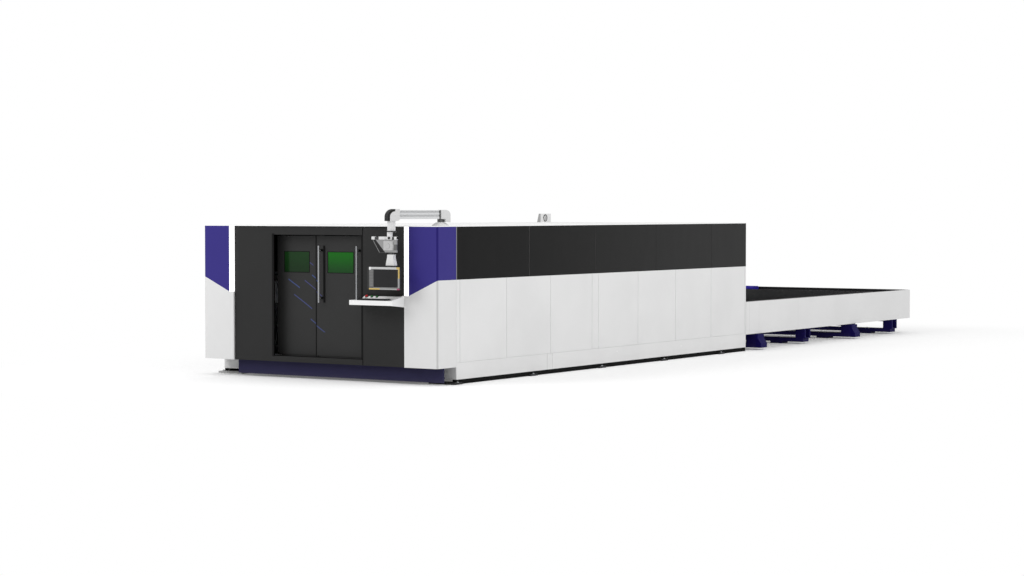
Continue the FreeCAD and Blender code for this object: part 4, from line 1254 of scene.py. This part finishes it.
@dataclass
class BarRow(Pattern):
    """Equal bars in a straight row along Y, standing on the plane z = 0."""

    count: int
    pitch: float
    size: Point
    coat: Finish
    turn: float = 0.0

    def mesh(self, name: str) -> bpy.types.Mesh:
        """Build one bar and spread it.

        Args:
            name: The mesh's name.

        Returns:
            The bars, centred on the origin.
        """
        tree = MeshTree(name, {"Count": self.count, "Pitch": (0.0, self.pitch, 0.0),
                                 "Bar": self.size})
        cube = tree.node("GeometryNodeMeshCube", {}, {"Size": tree.given["Bar"]})
        bar = tree.placed(cube, (0.0, 0.0, self.size[2] / 2), (0.0, 0.0, self.turn))
        line = tree.line("Count", "Pitch", (0.0, -self.pitch * (self.count - 1) / 2, 0.0))
        return tree.result(name, tree.spread(line, bar), self.coat)


@dataclass
class SlatField(Pattern):
    """Toothed slats on edge, one behind the other along Y, standing on the plane z = 0."""

    count: int
    pitch: float
    length: float
    root: float
    teeth: int
    tooth_height: float
    thickness: float
    coat: Finish

    def mesh(self, name: str) -> bpy.types.Mesh:
        """Build one tooth, spread it to a slat and spread the slat.

        Args:
            name: The mesh's name.

        Returns:
            The slats, centred on the origin.
        """
        pitch = self.length / self.teeth
        tree = MeshTree(name, {"Slats": self.count, "Teeth": self.teeth,
                                 "Slat pitch": (0.0, self.pitch, 0.0),
                                 "Tooth pitch": (pitch, 0.0, 0.0),
                                 "Strip": (self.length, self.thickness, self.root)})
        wedge = tree.node("GeometryNodeMeshCylinder", {},
                          {"Vertices": 3, "Radius": 1.0, "Depth": self.thickness})
        tooth = tree.placed(wedge, (0.0, 0.0, self.root + self.tooth_height / 3),
                            (0.0, -math.pi / 2, math.pi / 2),
                            (self.tooth_height / 1.5, pitch / math.sqrt(3.0), 1.0))
        comb = tree.spread(tree.line("Teeth", "Tooth pitch", (-pitch * (self.teeth - 1) / 2, 0.0, 0.0)),
                           tooth)
        bar = tree.node("GeometryNodeMeshCube", {}, {"Size": tree.given["Strip"]})
        slat = tree.joined(comb, tree.placed(bar, (0.0, 0.0, self.root / 2)))
        row = tree.line("Slats", "Slat pitch", (0.0, -self.pitch * (self.count - 1) / 2, 0.0))
        return tree.result(name, tree.spread(row, slat), self.coat)


# ---------------------------------------------------------------------------------------------
# Sub-assemblies


@dataclass
class Cabin:
    """Cabin shell: every cladding piece keeps its CAD form and gets its finish and fixings."""

    anchor_inset: float = 0.02
    plate_top: float = 0.03
    plate_width: float = 0.2
    plate_count: int = 5
    plate_gap: float = 0.002
    strip_inset: float = 0.03
    strip_width: float = 0.06
    strip_height: float = 0.004
    strip_count: int = 5
    seal_inset: Span = (0.008, 0.026)
    seal_gap: float = 0.001
    lip_width: float = 0.03
    lip_thickness: float = 0.006
    portal_half: float = 1.63
    portal_height: Span = (0.34, 1.09)
    port_back: float = 0.165
    port_radius: float = 0.055
    port_rim: float = 0.012
    rim_height: float = 0.007
    rim_round: float = 0.003
    plug: Profile = ((0, 0), (0.010, 0), (0.009, 0.002), (0, 0.003))
    plug_places: tuple[Pair, ...] = ((-3.325, 0.24), (-1.145, 0.22))

    def dress(self) -> None:
        """Give every CAD node the finish of its own or of its slot."""
        slots = {item["node"]: item["material_slot"] for item in frame["record"]["subparts"]}
        for name, piece in frame["nodes"].items():
            piece.data.materials.clear()
            piece.data.materials.append(finish(NODE_FINISHES.get(name) or FINISHES[slots[name]]))

    def plate_pitch(self) -> float:
        """Return the distance from one foot plate to the next."""
        low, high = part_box("levelling_feet")
        return (high.y - low.y - self.plate_width) / (self.plate_count - 1)

    def anchors(self) -> None:
        """Add an anchor bolt in each foot plate, beside the base skirt."""
        low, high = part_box("levelling_feet")
        bolts = BoltGrid(self.plate_count, 2, self.plate_pitch(), (high.x - self.anchor_inset) * 2)
        place = Matrix.Translation((0, (low.y + high.y) / 2, self.plate_top))
        bolts.piece("anchor_bolts", place, Body.MACHINE, Slot.FOOT_STEEL)

    def roof_strips(self) -> None:
        """Add the cover strips over the joints of the roof sheets."""
        low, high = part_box("roof")
        length = high.x - low.x - self.strip_inset * 2
        row = BarRow(self.strip_count, (high.y - low.y) / (self.strip_count + 1),
                     (length, self.strip_width, self.strip_height), STRIP_COAT)
        place = Matrix.Translation((0, (low.y + high.y) / 2, high.z))
        row.piece("roof_joint_strips", place, Body.MACHINE, Slot.WHITE_PANEL)

    def skirt_gap_shade(self) -> None:
        """Add a black strip under each base skirt as painted shade in the gap there, cut out over the
        foot plates.
        """
        low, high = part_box("base_skirts")
        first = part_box("levelling_feet")[0].y + self.plate_width / 2
        reach = self.plate_width / 2 + self.plate_gap
        cuts = [low.y] + [first + self.plate_pitch() * count + side * reach
                          for count in range(self.plate_count) for side in (-1, 1)] + [high.y]
        shape = Solids()
        for number, (start, end) in enumerate(zip(cuts, cuts[1:])):
            start = max(start, low.y)
            bottom = self.seal_gap + (0.0 if number % 2 == 0 else self.plate_top)
            if end - start > self.seal_gap:
                for side in (-1, 1):
                    left, right = sorted(side * (high.x - inset) for inset in self.seal_inset)
                    shape.box((left, start, bottom), (right, end, low.z))
        # painted shade: the black strips stand for the shade in the gap under the skirts
        shape.piece("skirt_gap_shade", RUBBER, Body.MACHINE, Slot.BLACK_PLASTIC)

    def portal_lip(self) -> None:
        """Add the rubber lip round the portal that the pallets pass through."""
        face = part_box("rear_wall")[1].y
        wide = self.portal_half + self.lip_width
        bottom, top = self.portal_height
        shape = Solids()
        shape.rim((-wide, bottom - self.lip_width), (wide, top + self.lip_width), self.lip_width,
                  (face, face + self.lip_thickness))
        shape.piece("portal_lip", RUBBER, Body.MACHINE, Slot.BLACK_PLASTIC)

    def round_trim(self) -> None:
        """Add the rim round the roof box's port, and the plugs in the right base skirt."""
        low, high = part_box("roof_port_box")
        inner, outer = self.port_radius, self.port_radius + self.port_rim
        rim = Solids()
        rim.turned(((inner, 0), (outer, 0), (outer, self.rim_height - self.rim_round),
                    (outer - self.rim_round, self.rim_height), (inner, self.rim_height)),
                   (high.x, low.y + self.port_back, (low.z + high.z) / 2), RIGHT, 48)
        rim.piece("port_rim", RUBBER, Body.MACHINE, Slot.BLACK_PLASTIC, True)
        plugs = Solids()
        for y, z in self.plug_places:
            plugs.turned(self.plug, (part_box("base_skirts")[1].x, y, z), RIGHT, 24)
        plugs.piece("skirt_plugs", STRIP_COAT, Body.MACHINE, Slot.WHITE_PANEL, True)

    def build(self) -> None:
        """Dress the cabin and add its own pieces."""
        self.dress()
        self.anchors()
        self.roof_strips()
        self.skirt_gap_shade()
        self.portal_lip()
        self.round_trim()


@dataclass
class Doors:
    """Handles, gaskets and seals of the telescopic sliding doors, and a black strip of painted
    reflection.
    """

    gasket_width: float = 0.008
    gasket_height: float = 0.003
    collar_half: float = 0.017
    collar_length: float = 0.030
    collar_round: float = 0.003
    grip_radius: float = 0.0125
    grip_round: float = 0.002
    grip_post: float = 0.008
    post_sunk: float = 0.6
    seal_width: float = 0.012
    seal_height: float = 0.006
    seal_inset: float = 0.02
    seal_round: float = 0.002
    handle_reflection: Span = (-0.007, 0.032)
    reflection_height: float = 0.003
    reflection_round: float = 0.001
    bar_radius: float = 0.019
    post_inset: float = 0.07

    def handle_places(self) -> tuple[Pair, Pair]:
        """Return where the handles stand across the door, and their posts in height."""
        low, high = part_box("door_handles")
        return ((low.x + self.bar_radius, high.x - self.bar_radius),
                (low.z + self.post_inset, high.z - self.post_inset))

    def grips(self) -> None:
        """Build the slim round handles on round posts, in place of the CAD's plainer ones."""
        low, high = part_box("door_handles")
        middle, length = low.y + self.bar_radius, high.z - low.z
        start = middle + self.grip_radius * self.post_sunk
        thin, soft = self.grip_radius, self.grip_round
        places, heights = self.handle_places()
        shape = Solids()
        for x in places:
            shape.turned(((0, 0), (thin - soft, 0), (thin, soft), (thin, length - soft),
                          (thin - soft, length), (0, length)), (x, middle, low.z), UP)
            for z in heights:
                shape.rod(self.grip_post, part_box("leading_leaf")[0].y - start, (x, start, z), BACK, 24)
        piece = shape.piece("door_grips", FINISHES["handle_steel"], Body.LEADING_DOOR,
                            Slot.HANDLE_STEEL, True)
        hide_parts("door_handles")

    def gasket(self, pane: str, leaf: str, body: Body) -> None:
        """Add the rubber frame round a window pane.

        Args:
            pane: The pane's node.
            leaf: The node of the leaf that holds it.
            body: The body that both ride on.
        """
        low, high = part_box(pane)
        shape = Solids()
        shape.rim((low.x, low.z), (high.x, high.z), self.gasket_width,
                  (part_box(leaf)[0].y - self.gasket_height, low.y))
        shape.piece(pane + "_gasket", RUBBER, body, Slot.BLACK_PLASTIC)

    def seals(self) -> None:
        """Add the edge seal, which also stands for the shade at the leaves' seam, and behind the left
        handle a black strip as the handle's painted reflection.
        """
        low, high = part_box("leading_leaf")
        grip_low, grip_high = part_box("door_handles")
        shape = Solids()
        # the edge seal is a real part, and its black also paints the shade at the seam between the
        # leaves
        shape.box((low.x, low.y - self.seal_height, low.z + self.seal_inset),
                  (low.x + self.seal_width, low.y, high.z - self.seal_inset), self.seal_round)
        # painted reflection: the black strip where the left handle's dark reflection shows on the leaf
        shape.box((self.handle_reflection[0], low.y - self.reflection_height, grip_low.z),
                  (self.handle_reflection[1], low.y, grip_high.z), self.reflection_round)
        shape.piece("door_seals", RUBBER, Body.LEADING_DOOR, Slot.BLACK_PLASTIC)

    def collars(self) -> None:
        """Add a square black collar round each handle post."""
        face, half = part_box("leading_leaf")[0].y, self.collar_half
        places, heights = self.handle_places()
        shape = Solids()
        for x in places:
            for z in heights:
                shape.box((x - half, face - self.collar_length, z - half),
                          (x + half, face, z + half), self.collar_round)
        shape.piece("handle_collars", RUBBER, Body.LEADING_DOOR, Slot.BLACK_PLASTIC)

    def build(self) -> None:
        """Build the doors' own pieces."""
        self.grips()
        self.gasket("leading_window", "leading_leaf", Body.LEADING_DOOR)
        self.gasket("trailing_window", "trailing_leaf", Body.TRAILING_DOOR)
        self.seals()
        self.collars()


@dataclass
class Gantry:
    """Gear racks beside the guide rails, and the fixings of carriage and cutting head."""

    rack: Span = (1.915, 1.940)
    rack_height: float = 0.014
    rack_round: float = 0.001
    tooth_sunk: float = 0.0005
    tooth_pitch: float = 0.02
    tooth_size: Point = (0.023, 0.0105, 0.008)
    tooth_turn: float = math.radians(14.0)
    bolt_rows: int = 4
    bolt_pitch: Pair = (0.082, 0.236)
    bolt_size: Pair = (0.014, 0.006)
    cover_inset: float = 0.007
    cover_depth: float = 0.006
    cover_round: float = 0.004
    cover_drop: Span = (0.03, 0.39)
    screw_inset: Pair = (0.009, 0.012)
    screw_size: Pair = (0.005, 0.004)
    lens_drop: float = 0.09
    lens: Profile = ((0, 0), (0.014, 0), (0.012, 0.004), (0, 0.005))

    def racks(self) -> None:
        """Add a helical gear rack on top of each side beam."""
        low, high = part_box("guide_rails")
        count = int((high.y - low.y) / self.tooth_pitch)
        middle = ((self.rack[0] + self.rack[1]) / 2, (low.y + high.y) / 2, low.z + self.rack_height)
        whole, bars = bmesh.new(), Solids()
        for side in (-1, 1):
            row = BarRow(count, self.tooth_pitch, self.tooth_size, RACK_STEEL, self.tooth_turn * side)
            place = Matrix.Translation((middle[0] * side, middle[1], middle[2]))
            whole.from_mesh(row.moved("rack_teeth", place))
            left, right = sorted(edge * side for edge in self.rack)
            bars.box((left, low.y, low.z), (right, high.y, middle[2] + self.tooth_sunk),
                     self.rack_round)
        whole.from_mesh(bars.mesh("rack_bars"))
        mesh = bpy.data.meshes.new("gear_racks")
        whole.to_mesh(mesh)
        whole.free()
        as_object("gear_racks", mesh, RACK_STEEL, Body.MACHINE)

    def carriage_bolts(self) -> None:
        """Add the bolts that hold the carriage plate to its slides."""
        low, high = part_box("head_carriage")
        place = Matrix.Translation((0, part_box("cutting_head")[1].y, (low.z + high.z) / 2))
        turn = Matrix.Rotation(math.radians(90), 4, "X")
        BoltGrid(self.bolt_rows, 2, *self.bolt_pitch, *self.bolt_size).piece(
            "carriage_bolts", place @ turn, Body.CARRIAGE, Slot.FOOT_STEEL)

    def head_cover(self) -> None:
        """Add the screwed front cover and the status lens of the cutting head."""
        low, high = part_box("cutting_head")
        face = low.y - self.cover_depth
        left, right = low.x + self.cover_inset, high.x - self.cover_inset
        top, bottom = (high.z - drop for drop in self.cover_drop)
        aside, inset = self.screw_inset
        shape = Solids()
        shape.box((left, face, bottom), (right, low.y, top), self.cover_round)
        for x in (left + aside, right - aside):
            for z in (bottom + inset, top - inset):
                shape.rod(*self.screw_size, (x, face, z), FRONT, 16)
        shape.turned(self.lens, (0, face, high.z - self.lens_drop), FRONT, 24)
        shape.piece("head_cover", FINISHES["gantry_paint"], Body.HEAD, Slot.GANTRY_PAINT, True)

    def build(self) -> None:
        """Build the gantry's own pieces."""
        self.racks()
        self.carriage_bolts()
        self.head_cover()


@dataclass
class Pallets:
    """Full fields of toothed slats that stand for the coarser ones of the two pallets."""

    slat_count: int = 62
    tooth_count: int = 26
    tooth_height: float = 0.03
    thickness: float = 0.006
    beam: float = 0.08

    def slats(self, pallet: str, body: Body) -> None:
        """Add the slats of one pallet in place of its node's slats.

        Args:
            pallet: The pallet's node.
            body: The body that the slats ride on.
        """
        low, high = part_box(pallet + "_slats")
        start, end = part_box(pallet)
        pitch = (end.y - start.y - self.beam * 2) / (self.slat_count + 1)
        field = SlatField(self.slat_count, pitch, high.x - low.x,
                          high.z - low.z - self.tooth_height, self.tooth_count,
                          self.tooth_height, self.thickness, FINISHES["slat_steel"])
        place = Matrix.Translation((0, (start.y + end.y) / 2, low.z))
        piece = field.piece(pallet + "_toothed_slats", place, body, Slot.SLAT_STEEL)
        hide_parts(pallet + "_slats")

    def build(self) -> None:
        """Build the slats of both pallets."""
        self.slats("upper_pallet", Body.UPPER_PALLET)
        self.slats("lower_pallet", Body.LOWER_PALLET)


@dataclass
class ExchangeTable:
    """Bolts of the leg frames and the lid of the exchange drive."""

    stand_middle: float = 1.625
    beam_top: float = 0.112
    frame_count: int = 4
    frame_pitch: float = 2.06
    frame_middle: float = 4.905
    lid_inset: float = 0.04
    lid_headroom: float = 0.03
    lid_height: float = 0.006
    lid_round: float = 0.003
    screw_inset: float = 0.02
    screw: Profile = ((0, 0), (0.006, 0), (0.006, 0.003), (0, 0.004))

    def bolts(self) -> None:
        """Add the bolts that hold each leg frame to its stands."""
        grid = BoltGrid(self.frame_count, 2, self.frame_pitch, self.stand_middle * 2)
        place = Matrix.Translation((0, self.frame_middle, self.beam_top))
        grid.piece("leg_bolts", place, Body.MACHINE, Slot.FOOT_STEEL)

    def lid(self) -> None:
        """Add the service lid on the front of the drive housing."""
        low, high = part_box("exchange_drive")
        left, right = low.x + self.lid_inset, high.x - self.lid_inset
        bottom, top = low.z + self.lid_inset, high.z - self.lid_inset - self.lid_headroom
        face = low.y - self.lid_height
        shape = Solids()
        shape.box((left, face, bottom), (right, low.y, top), self.lid_round)
        for x in (left + self.screw_inset, (left + right) / 2, right - self.screw_inset):
            for z in (bottom + self.screw_inset, top - self.screw_inset):
                shape.turned(self.screw, (x, face, z), FRONT, 16)
        shape.piece("drive_lid", NODE_FINISHES["exchange_drive"], Body.MACHINE, Slot.PURPLE_PANEL)

    def build(self) -> None:
        """Build the exchange table's own pieces."""
        self.bolts()
        self.lid()


@dataclass
class OperatorPlace:
    """Keyboard keys on the console and the collars under its buttons."""

    key_rows: int = 5
    key_columns: int = 20
    key_gap: float = 0.004
    key_height: float = 0.006
    margin: float = 0.008
    slope: Pair = (0.080, 0.054)
    slope_middle: Pair = (-8.515, 1.289)
    collar_gap: float = 0.001
    collar_wall: float = 0.007
    collar_height: float = 0.0045
    collar_side: float = 0.0027
    collar_round: float = 0.002

    def keys(self) -> None:
        """Add the keyboard's keys."""
        low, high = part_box("keyboard")
        field = KeyField(self.key_rows, self.key_columns, high.x - low.x - 2 * self.margin,
                         high.y - low.y - 2 * self.margin, self.key_gap, self.key_height, KEYS)
        place = Matrix.Translation(((low.x + high.x) / 2, (low.y + high.y) / 2, high.z))
        field.piece("keyboard_keys", place, Body.MACHINE, Slot.BLACK_PLASTIC)

    def collars(self) -> None:
        """Add a collar round each button, square to the slope that it stands on."""
        run, rise = self.slope
        shape = Solids()
        for button in ("stop_button", "start_button", "reset_button"):
            low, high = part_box(button)
            radius = (high.x - low.x) / 2
            inner, outer = radius + self.collar_gap, radius + self.collar_wall
            shape.turned(((inner, 0), (outer, 0), (outer, self.collar_side),
                          (outer - self.collar_round, self.collar_height),
                          (inner, self.collar_height)),
                         ((low.x + high.x) / 2, *self.slope_middle), Vector((0, -rise, run)))
        shape.piece("button_collars", RUBBER, Body.MACHINE, Slot.BLACK_PLASTIC, True)

    def build(self) -> None:
        """Build the operator's place."""
        self.keys()
        self.collars()


@dataclass
class Pendant:
    """Screen of the monitor that hangs from the arm, bolts of the arm's base and drop tube."""

    screen_x: Span = (1.323, 1.743)
    screen_z: Span = (1.444, 1.706)
    screen_y: Span = (-8.7935, -8.7905)
    screen_round: float = 0.0008
    flange_thickness: float = 0.010
    bolt_reach: float = 0.146
    bolt_size: Pair = (0.013, 0.006)
    axis: Pair = PENDANT_AXIS
    tube_half: float = 0.052
    tube_round: float = 0.020
    tube_steps: int = 4

    def screen(self) -> None:
        """Add the screen glass, sunk in its recess."""
        shape = Solids()
        corners = zip(self.screen_x, self.screen_y, self.screen_z)
        shape.box(*corners, self.screen_round)
        shape.piece("screen_glass", SCREEN, Body.MONITOR, Slot.BLACK_PLASTIC)

    def flange_bolts(self) -> None:
        """Add the bolts at the corners of the arm base's flange."""
        low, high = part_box("arm_base")
        grid = BoltGrid(2, 2, self.bolt_reach, self.bolt_reach, *self.bolt_size)
        place = Matrix.Translation(((low.x + high.x) / 2, (low.y + high.y) / 2,
                                    low.z + self.flange_thickness))
        grid.piece("arm_base_bolts", place, Body.MACHINE, Slot.FOOT_STEEL)

    def tube(self) -> None:
        """Add the rounded square tube under the arm's free elbow, square to the arm."""
        low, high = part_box("drop_tube")
        half = self.tube_half
        shape = Solids()
        shape.box((-half, -half, low.z), (half, half, high.z))
        upright = [edge for edge in shape.work.edges
                   if abs(edge.verts[0].co.z - edge.verts[1].co.z) > self.tube_round]
        bmesh.ops.bevel(shape.work, geom=upright, offset=self.tube_round, segments=self.tube_steps,
                        affect="EDGES", profile=0.5)
        shape.work.transform(Matrix.Translation((*self.axis, 0))
                             @ Matrix.Rotation(ARM_TURN, 4, "Z"))
        piece = shape.piece("drop_tube_shell", NODE_FINISHES["drop_tube"], Body.ARM,
                            Slot.ARM_ALUMINIUM, True)
        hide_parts("drop_tube")

    def build(self) -> None:
        """Build the pieces of monitor, arm base and drop tube."""
        self.screen()
        self.flange_bolts()
        self.tube()


@dataclass
class TiltBracket:
    """Bracket between drop tube and monitor: clamped bar, cast plate, stay, socket and pin.

    A half is a box's reach to either side of the axis. Bosses are x, z and radius, and the socket's
    sections are two halves and a height.
    """

    axis: Pair = PENDANT_AXIS
    bar_x: Span = (1.222, 1.668)
    bar_z: Span = (2.146, 2.180)
    bar_half: float = 0.016
    clamps: tuple[Span, ...] = ((1.218, 1.278), (1.349, 1.470), (1.505, 1.590), (1.630, 1.671))
    clamp_z: Span = (2.140, 2.185)
    clamp_half: float = 0.024
    plate: Profile = ((1.285, 2.142), (1.668, 2.142), (1.668, 1.953), (1.462, 1.953))
    plate_half: float = 0.012
    bosses: tuple[Point, ...] = ((1.50, 2.05, 0.045), (1.60, 2.09, 0.018), (1.60, 2.00, 0.018))
    boss_height: float = 0.006
    boss_round: float = 0.002
    boss_bowl: Pair = (0.6, 0.55)
    stay_ends: tuple[Pair, Pair] = ((1.224, 2.145), (1.350, 1.950))
    stay_radius: float = 0.004
    foot_x: Span = (1.344, 1.668)
    foot_z: Span = (1.9455, 1.9535)
    foot_half: float = 0.010
    neck_half: Pair = (0.030, 0.020)
    neck_z: Span = (1.920, 1.948)
    socket: tuple[Point, ...] = ((0.052, 0.034, 1.922), (0.053, 0.035, 1.880),
                                 (0.074, 0.038, 1.790), (0.076, 0.038, 1.762))
    block_half: float = 0.067
    block_y: Span = (-0.025, 0.015)
    block_z: Span = (1.704, 1.7615)
    pin_radius: float = 0.008
    pin_length: float = 0.175
    pin_at: Pair = (-0.005, 1.720)
    edge_round: float = 0.003
    clamp_round: float = 0.005
    foot_round: float = 0.002
    knob_at: Point = (1.549, -8.711, 2.163)
    knob: Profile = ((0, 0), (0.006, 0), (0.006, 0.010), (0.017, 0.012), (0.017, 0.024),
                     (0.013, 0.028), (0, 0.028))
    knuckle_z: float = 2.166
    knuckle: Profile = ((0, 0), (0.016, 0), (0.016, 0.014), (0.010, 0.022), (0, 0.022))

    def bar(self, shape: Solids, x: Span, z: Span, half: float, bevel: float) -> None:
        """Add a box to the bracket, as deep in front of its axis as behind it.

        Args:
            shape: The bracket's solids.
            x: Where the box starts and ends across the machine.
            z: Its lower and upper side.
            half: Half its depth.
            bevel: The width of its bevelled edges.
        """
        depth = self.axis[1]
        shape.box((x[0], depth - half, z[0]), (x[1], depth + half, z[1]), bevel)

    def top(self, shape: Solids) -> None:
        """Add the clamped bar and the cast plate with its bosses.

        Args:
            shape: The bracket's solids.
        """
        face = self.axis[1] - self.plate_half
        self.bar(shape, self.bar_x, self.bar_z, self.bar_half, self.edge_round)
        for clamp in self.clamps:
            self.bar(shape, clamp, self.clamp_z, self.clamp_half, self.clamp_round)
        shape.prism([(x, face, z) for x, z in self.plate], Vector((0, self.plate_half * 2, 0)))
        rim, sunk = self.boss_height, self.boss_height / 2
        lip, floor = self.boss_bowl
        for x, z, radius in self.bosses:
            shape.turned(((0, 0), (radius, 0), (radius - self.boss_round, rim), (radius * lip, rim),
                          (radius * floor, sunk), (0, sunk)), (x, face, z), FRONT)

    def foot(self, shape: Solids) -> None:
        """Add the stay, the bar under the plate, the tapered socket, the tilt block and the pin.

        Args:
            shape: The bracket's solids.
        """
        centre, depth = self.axis
        (start, top), (end, bottom) = self.stay_ends
        stay = Vector((end - start, 0, bottom - top))
        shape.rod(self.stay_radius, stay.length, (start, depth, top), stay, 12)
        self.bar(shape, self.foot_x, self.foot_z, self.foot_half, self.foot_round)
        wide, deep = self.neck_half
        self.bar(shape, (centre - wide, centre + wide), self.neck_z, deep, self.edge_round)
        shape.loft([[shape.work.verts.new((centre + x * half_x, depth + y * half_y, z))
                     for x, y in ((-1, -1), (1, -1), (1, 1), (-1, 1))]
                    for half_x, half_y, z in self.socket])
        shape.box((centre - self.block_half, depth + self.block_y[0], self.block_z[0]),
                  (centre + self.block_half, depth + self.block_y[1], self.block_z[1]),
                  self.edge_round)
        shape.rod(self.pin_radius, self.pin_length,
                  (centre - self.pin_length / 2, depth + self.pin_at[0], self.pin_at[1]), RIGHT, 24)

    def bracket(self) -> None:
        """Build the bracket in place of the CAD's plainer one."""
        shape = Solids()
        self.top(shape)
        self.foot(shape)
        piece = shape.piece("pendant_bracket", FINISHES["bracket_grey"], Body.PENDANT,
                            Slot.BRACKET_GREY, True)
        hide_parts("tilt_bracket")

    def knobs(self) -> None:
        """Add the clamp knob and the end knuckle of the bracket's top bar."""
        shape = Solids()
        shape.turned(self.knob, self.knob_at, FRONT, 24)
        end = (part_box("tilt_bracket")[1].x, self.axis[1], self.knuckle_z)
        shape.turned(self.knuckle, end, RIGHT, 24)
        shape.piece("bracket_knobs", RUBBER, Body.PENDANT, Slot.BLACK_PLASTIC, True)

    def build(self) -> None:
        """Build the bracket and its knobs."""
        self.bracket()
        self.knobs()


# ---------------------------------------------------------------------------------------------
# Studio


@dataclass(frozen=True)
class Lamp:
    """A square soft lamp, with its side in metres and its power in watts."""

    name: str
    at: Point
    aim: Point
    side: float
    power: float

    def hang(self) -> None:
        """Hang the lamp at its place."""
        light = bpy.data.lights.new(self.name, "AREA")
        light.size = self.side
        light.energy = self.power
        lamp = bpy.data.objects.new(self.name, light)
        lamp.location = self.at
        way = Vector(self.aim) - Vector(self.at)
        lamp.rotation_euler = way.to_track_quat("-Z", "Y").to_euler()
        bpy.context.scene.collection.objects.link(lamp)


@dataclass
class Studio:
    """White floor and backdrop, soft lamps and the camera at the photograph's angle.

    Pitch and yaw are in degrees, lens and film width in millimetres.
    """

    camera_at: Point = (20.845, -34.8685, 2.5831)
    pitch: float = 2.028
    yaw: float = 33.255
    lens: float = 78.03
    film_width: float = 36.0
    sight: float = 500.0
    ambient: float = 0.78
    floor_half: float = 120.0
    floor_lift: float = 0.14
    floor_tone: float = 0.92
    machine_half: Pair = (2.3, 8.8)
    shadow_fade: Span = (0.8, 4.0)
    lamps: tuple[Lamp, ...] = (
        Lamp("key_lamp", (-9.0, -24.0, 14.0), (-2.0, -8.0, 1.2), 12.0, 1700.0),
        Lamp("side_lamp", (24.0, -4.0, 12.0), (2.2, 0.0, 1.0), 14.0, 1500.0))

    def world(self) -> None:
        """Light everything evenly, with a white background for the camera."""
        graph = Graph(bpy.data.worlds.new("studio_world"), "ShaderNodeOutputWorld")
        sights = [graph.add("ShaderNodeLightPath", {}, {}, kind)
                  for kind in ("Is Camera Ray", "Is Transmission Ray")]
        soft, white = [graph.add("ShaderNodeBackground", {}, {"Color": WHITE, "Strength": strength})
                       for strength in (self.ambient, 1.0)]
        bpy.context.scene.world = graph.end(graph.add(
            "ShaderNodeMixShader", {}, {0: sights[0].at_least(sights[1]), 1: soft, 2: white}))

    def floor_white(self) -> bpy.types.Material:
        """Make the floor's material: matte near the machine, and plain white far from it.

        Returns:
            The floor's material.
        """
        graph = Graph(bpy.data.materials.new("floor_white"))
        seen = graph.add("ShaderNodeLightPath", {}, {}, "Is Camera Ray")
        matte = graph.add("ShaderNodeBsdfDiffuse", {}, {"Color": (*(self.floor_tone,) * 3, 1.0)})
        glow, white = [graph.add("ShaderNodeEmission", {}, {"Color": WHITE, "Strength": strength})
                       for strength in (self.floor_lift, 1.0)]
        lifted = graph.add("ShaderNodeAddShader", {}, {0: matte, 1: glow})
        aside, beyond = [(place.size() - half).at_least(0.0)
                         for place, half in zip(graph.axes, self.machine_half)]
        far = (aside * aside + beyond * beyond).root().ramp(*self.shadow_fade)
        faded = graph.add("ShaderNodeMixShader", {}, {0: far, 1: lifted, 2: white})
        return graph.end(graph.add("ShaderNodeMixShader", {}, {0: seen, 1: matte, 2: faded}))

    def floor(self) -> None:
        """Lay the white floor, which keeps the machine's soft shadow."""
        half = self.floor_half
        mesh = bpy.data.meshes.new("floor")
        corners = [(-half, -half, 0), (half, -half, 0), (half, half, 0), (-half, half, 0)]
        mesh.from_pydata(corners, [], [(0, 1, 2, 3)])
        mesh.materials.append(self.floor_white())
        floor = bpy.data.objects.new("floor", mesh)
        bpy.context.scene.collection.objects.link(floor)

    def camera(self) -> None:
        """Set the camera where the photograph was taken from."""
        data = bpy.data.cameras.new("camera")
        data.lens = self.lens
        data.sensor_width = self.film_width
        data.clip_end = self.sight
        camera = bpy.data.objects.new("camera", data)
        camera.location = self.camera_at
        camera.rotation_euler = (math.radians(90 - self.pitch), 0.0, math.radians(self.yaw))
        bpy.context.scene.collection.objects.link(camera)
        bpy.context.scene.camera = camera

    def build(self) -> None:
        """Build the studio round the machine."""
        bpy.context.scene.view_settings.view_transform = "Standard"
        self.world()
        self.floor()
        for lamp in self.lamps:
            lamp.hang()
        self.camera()


def main() -> None:
    """Dress the machine, build its own pieces and set up the studio."""
    logging.basicConfig(level=logging.INFO, format="%(name)s %(message)s")
    for assembly in (Cabin(), Doors(), Gantry(), Pallets(), ExchangeTable(), OperatorPlace(),
                     Pendant(), TiltBracket(), Studio()):
        assembly.build()
        LOG.info("built %s", type(assembly).__name__)


if __name__ == "__main__":
    main()
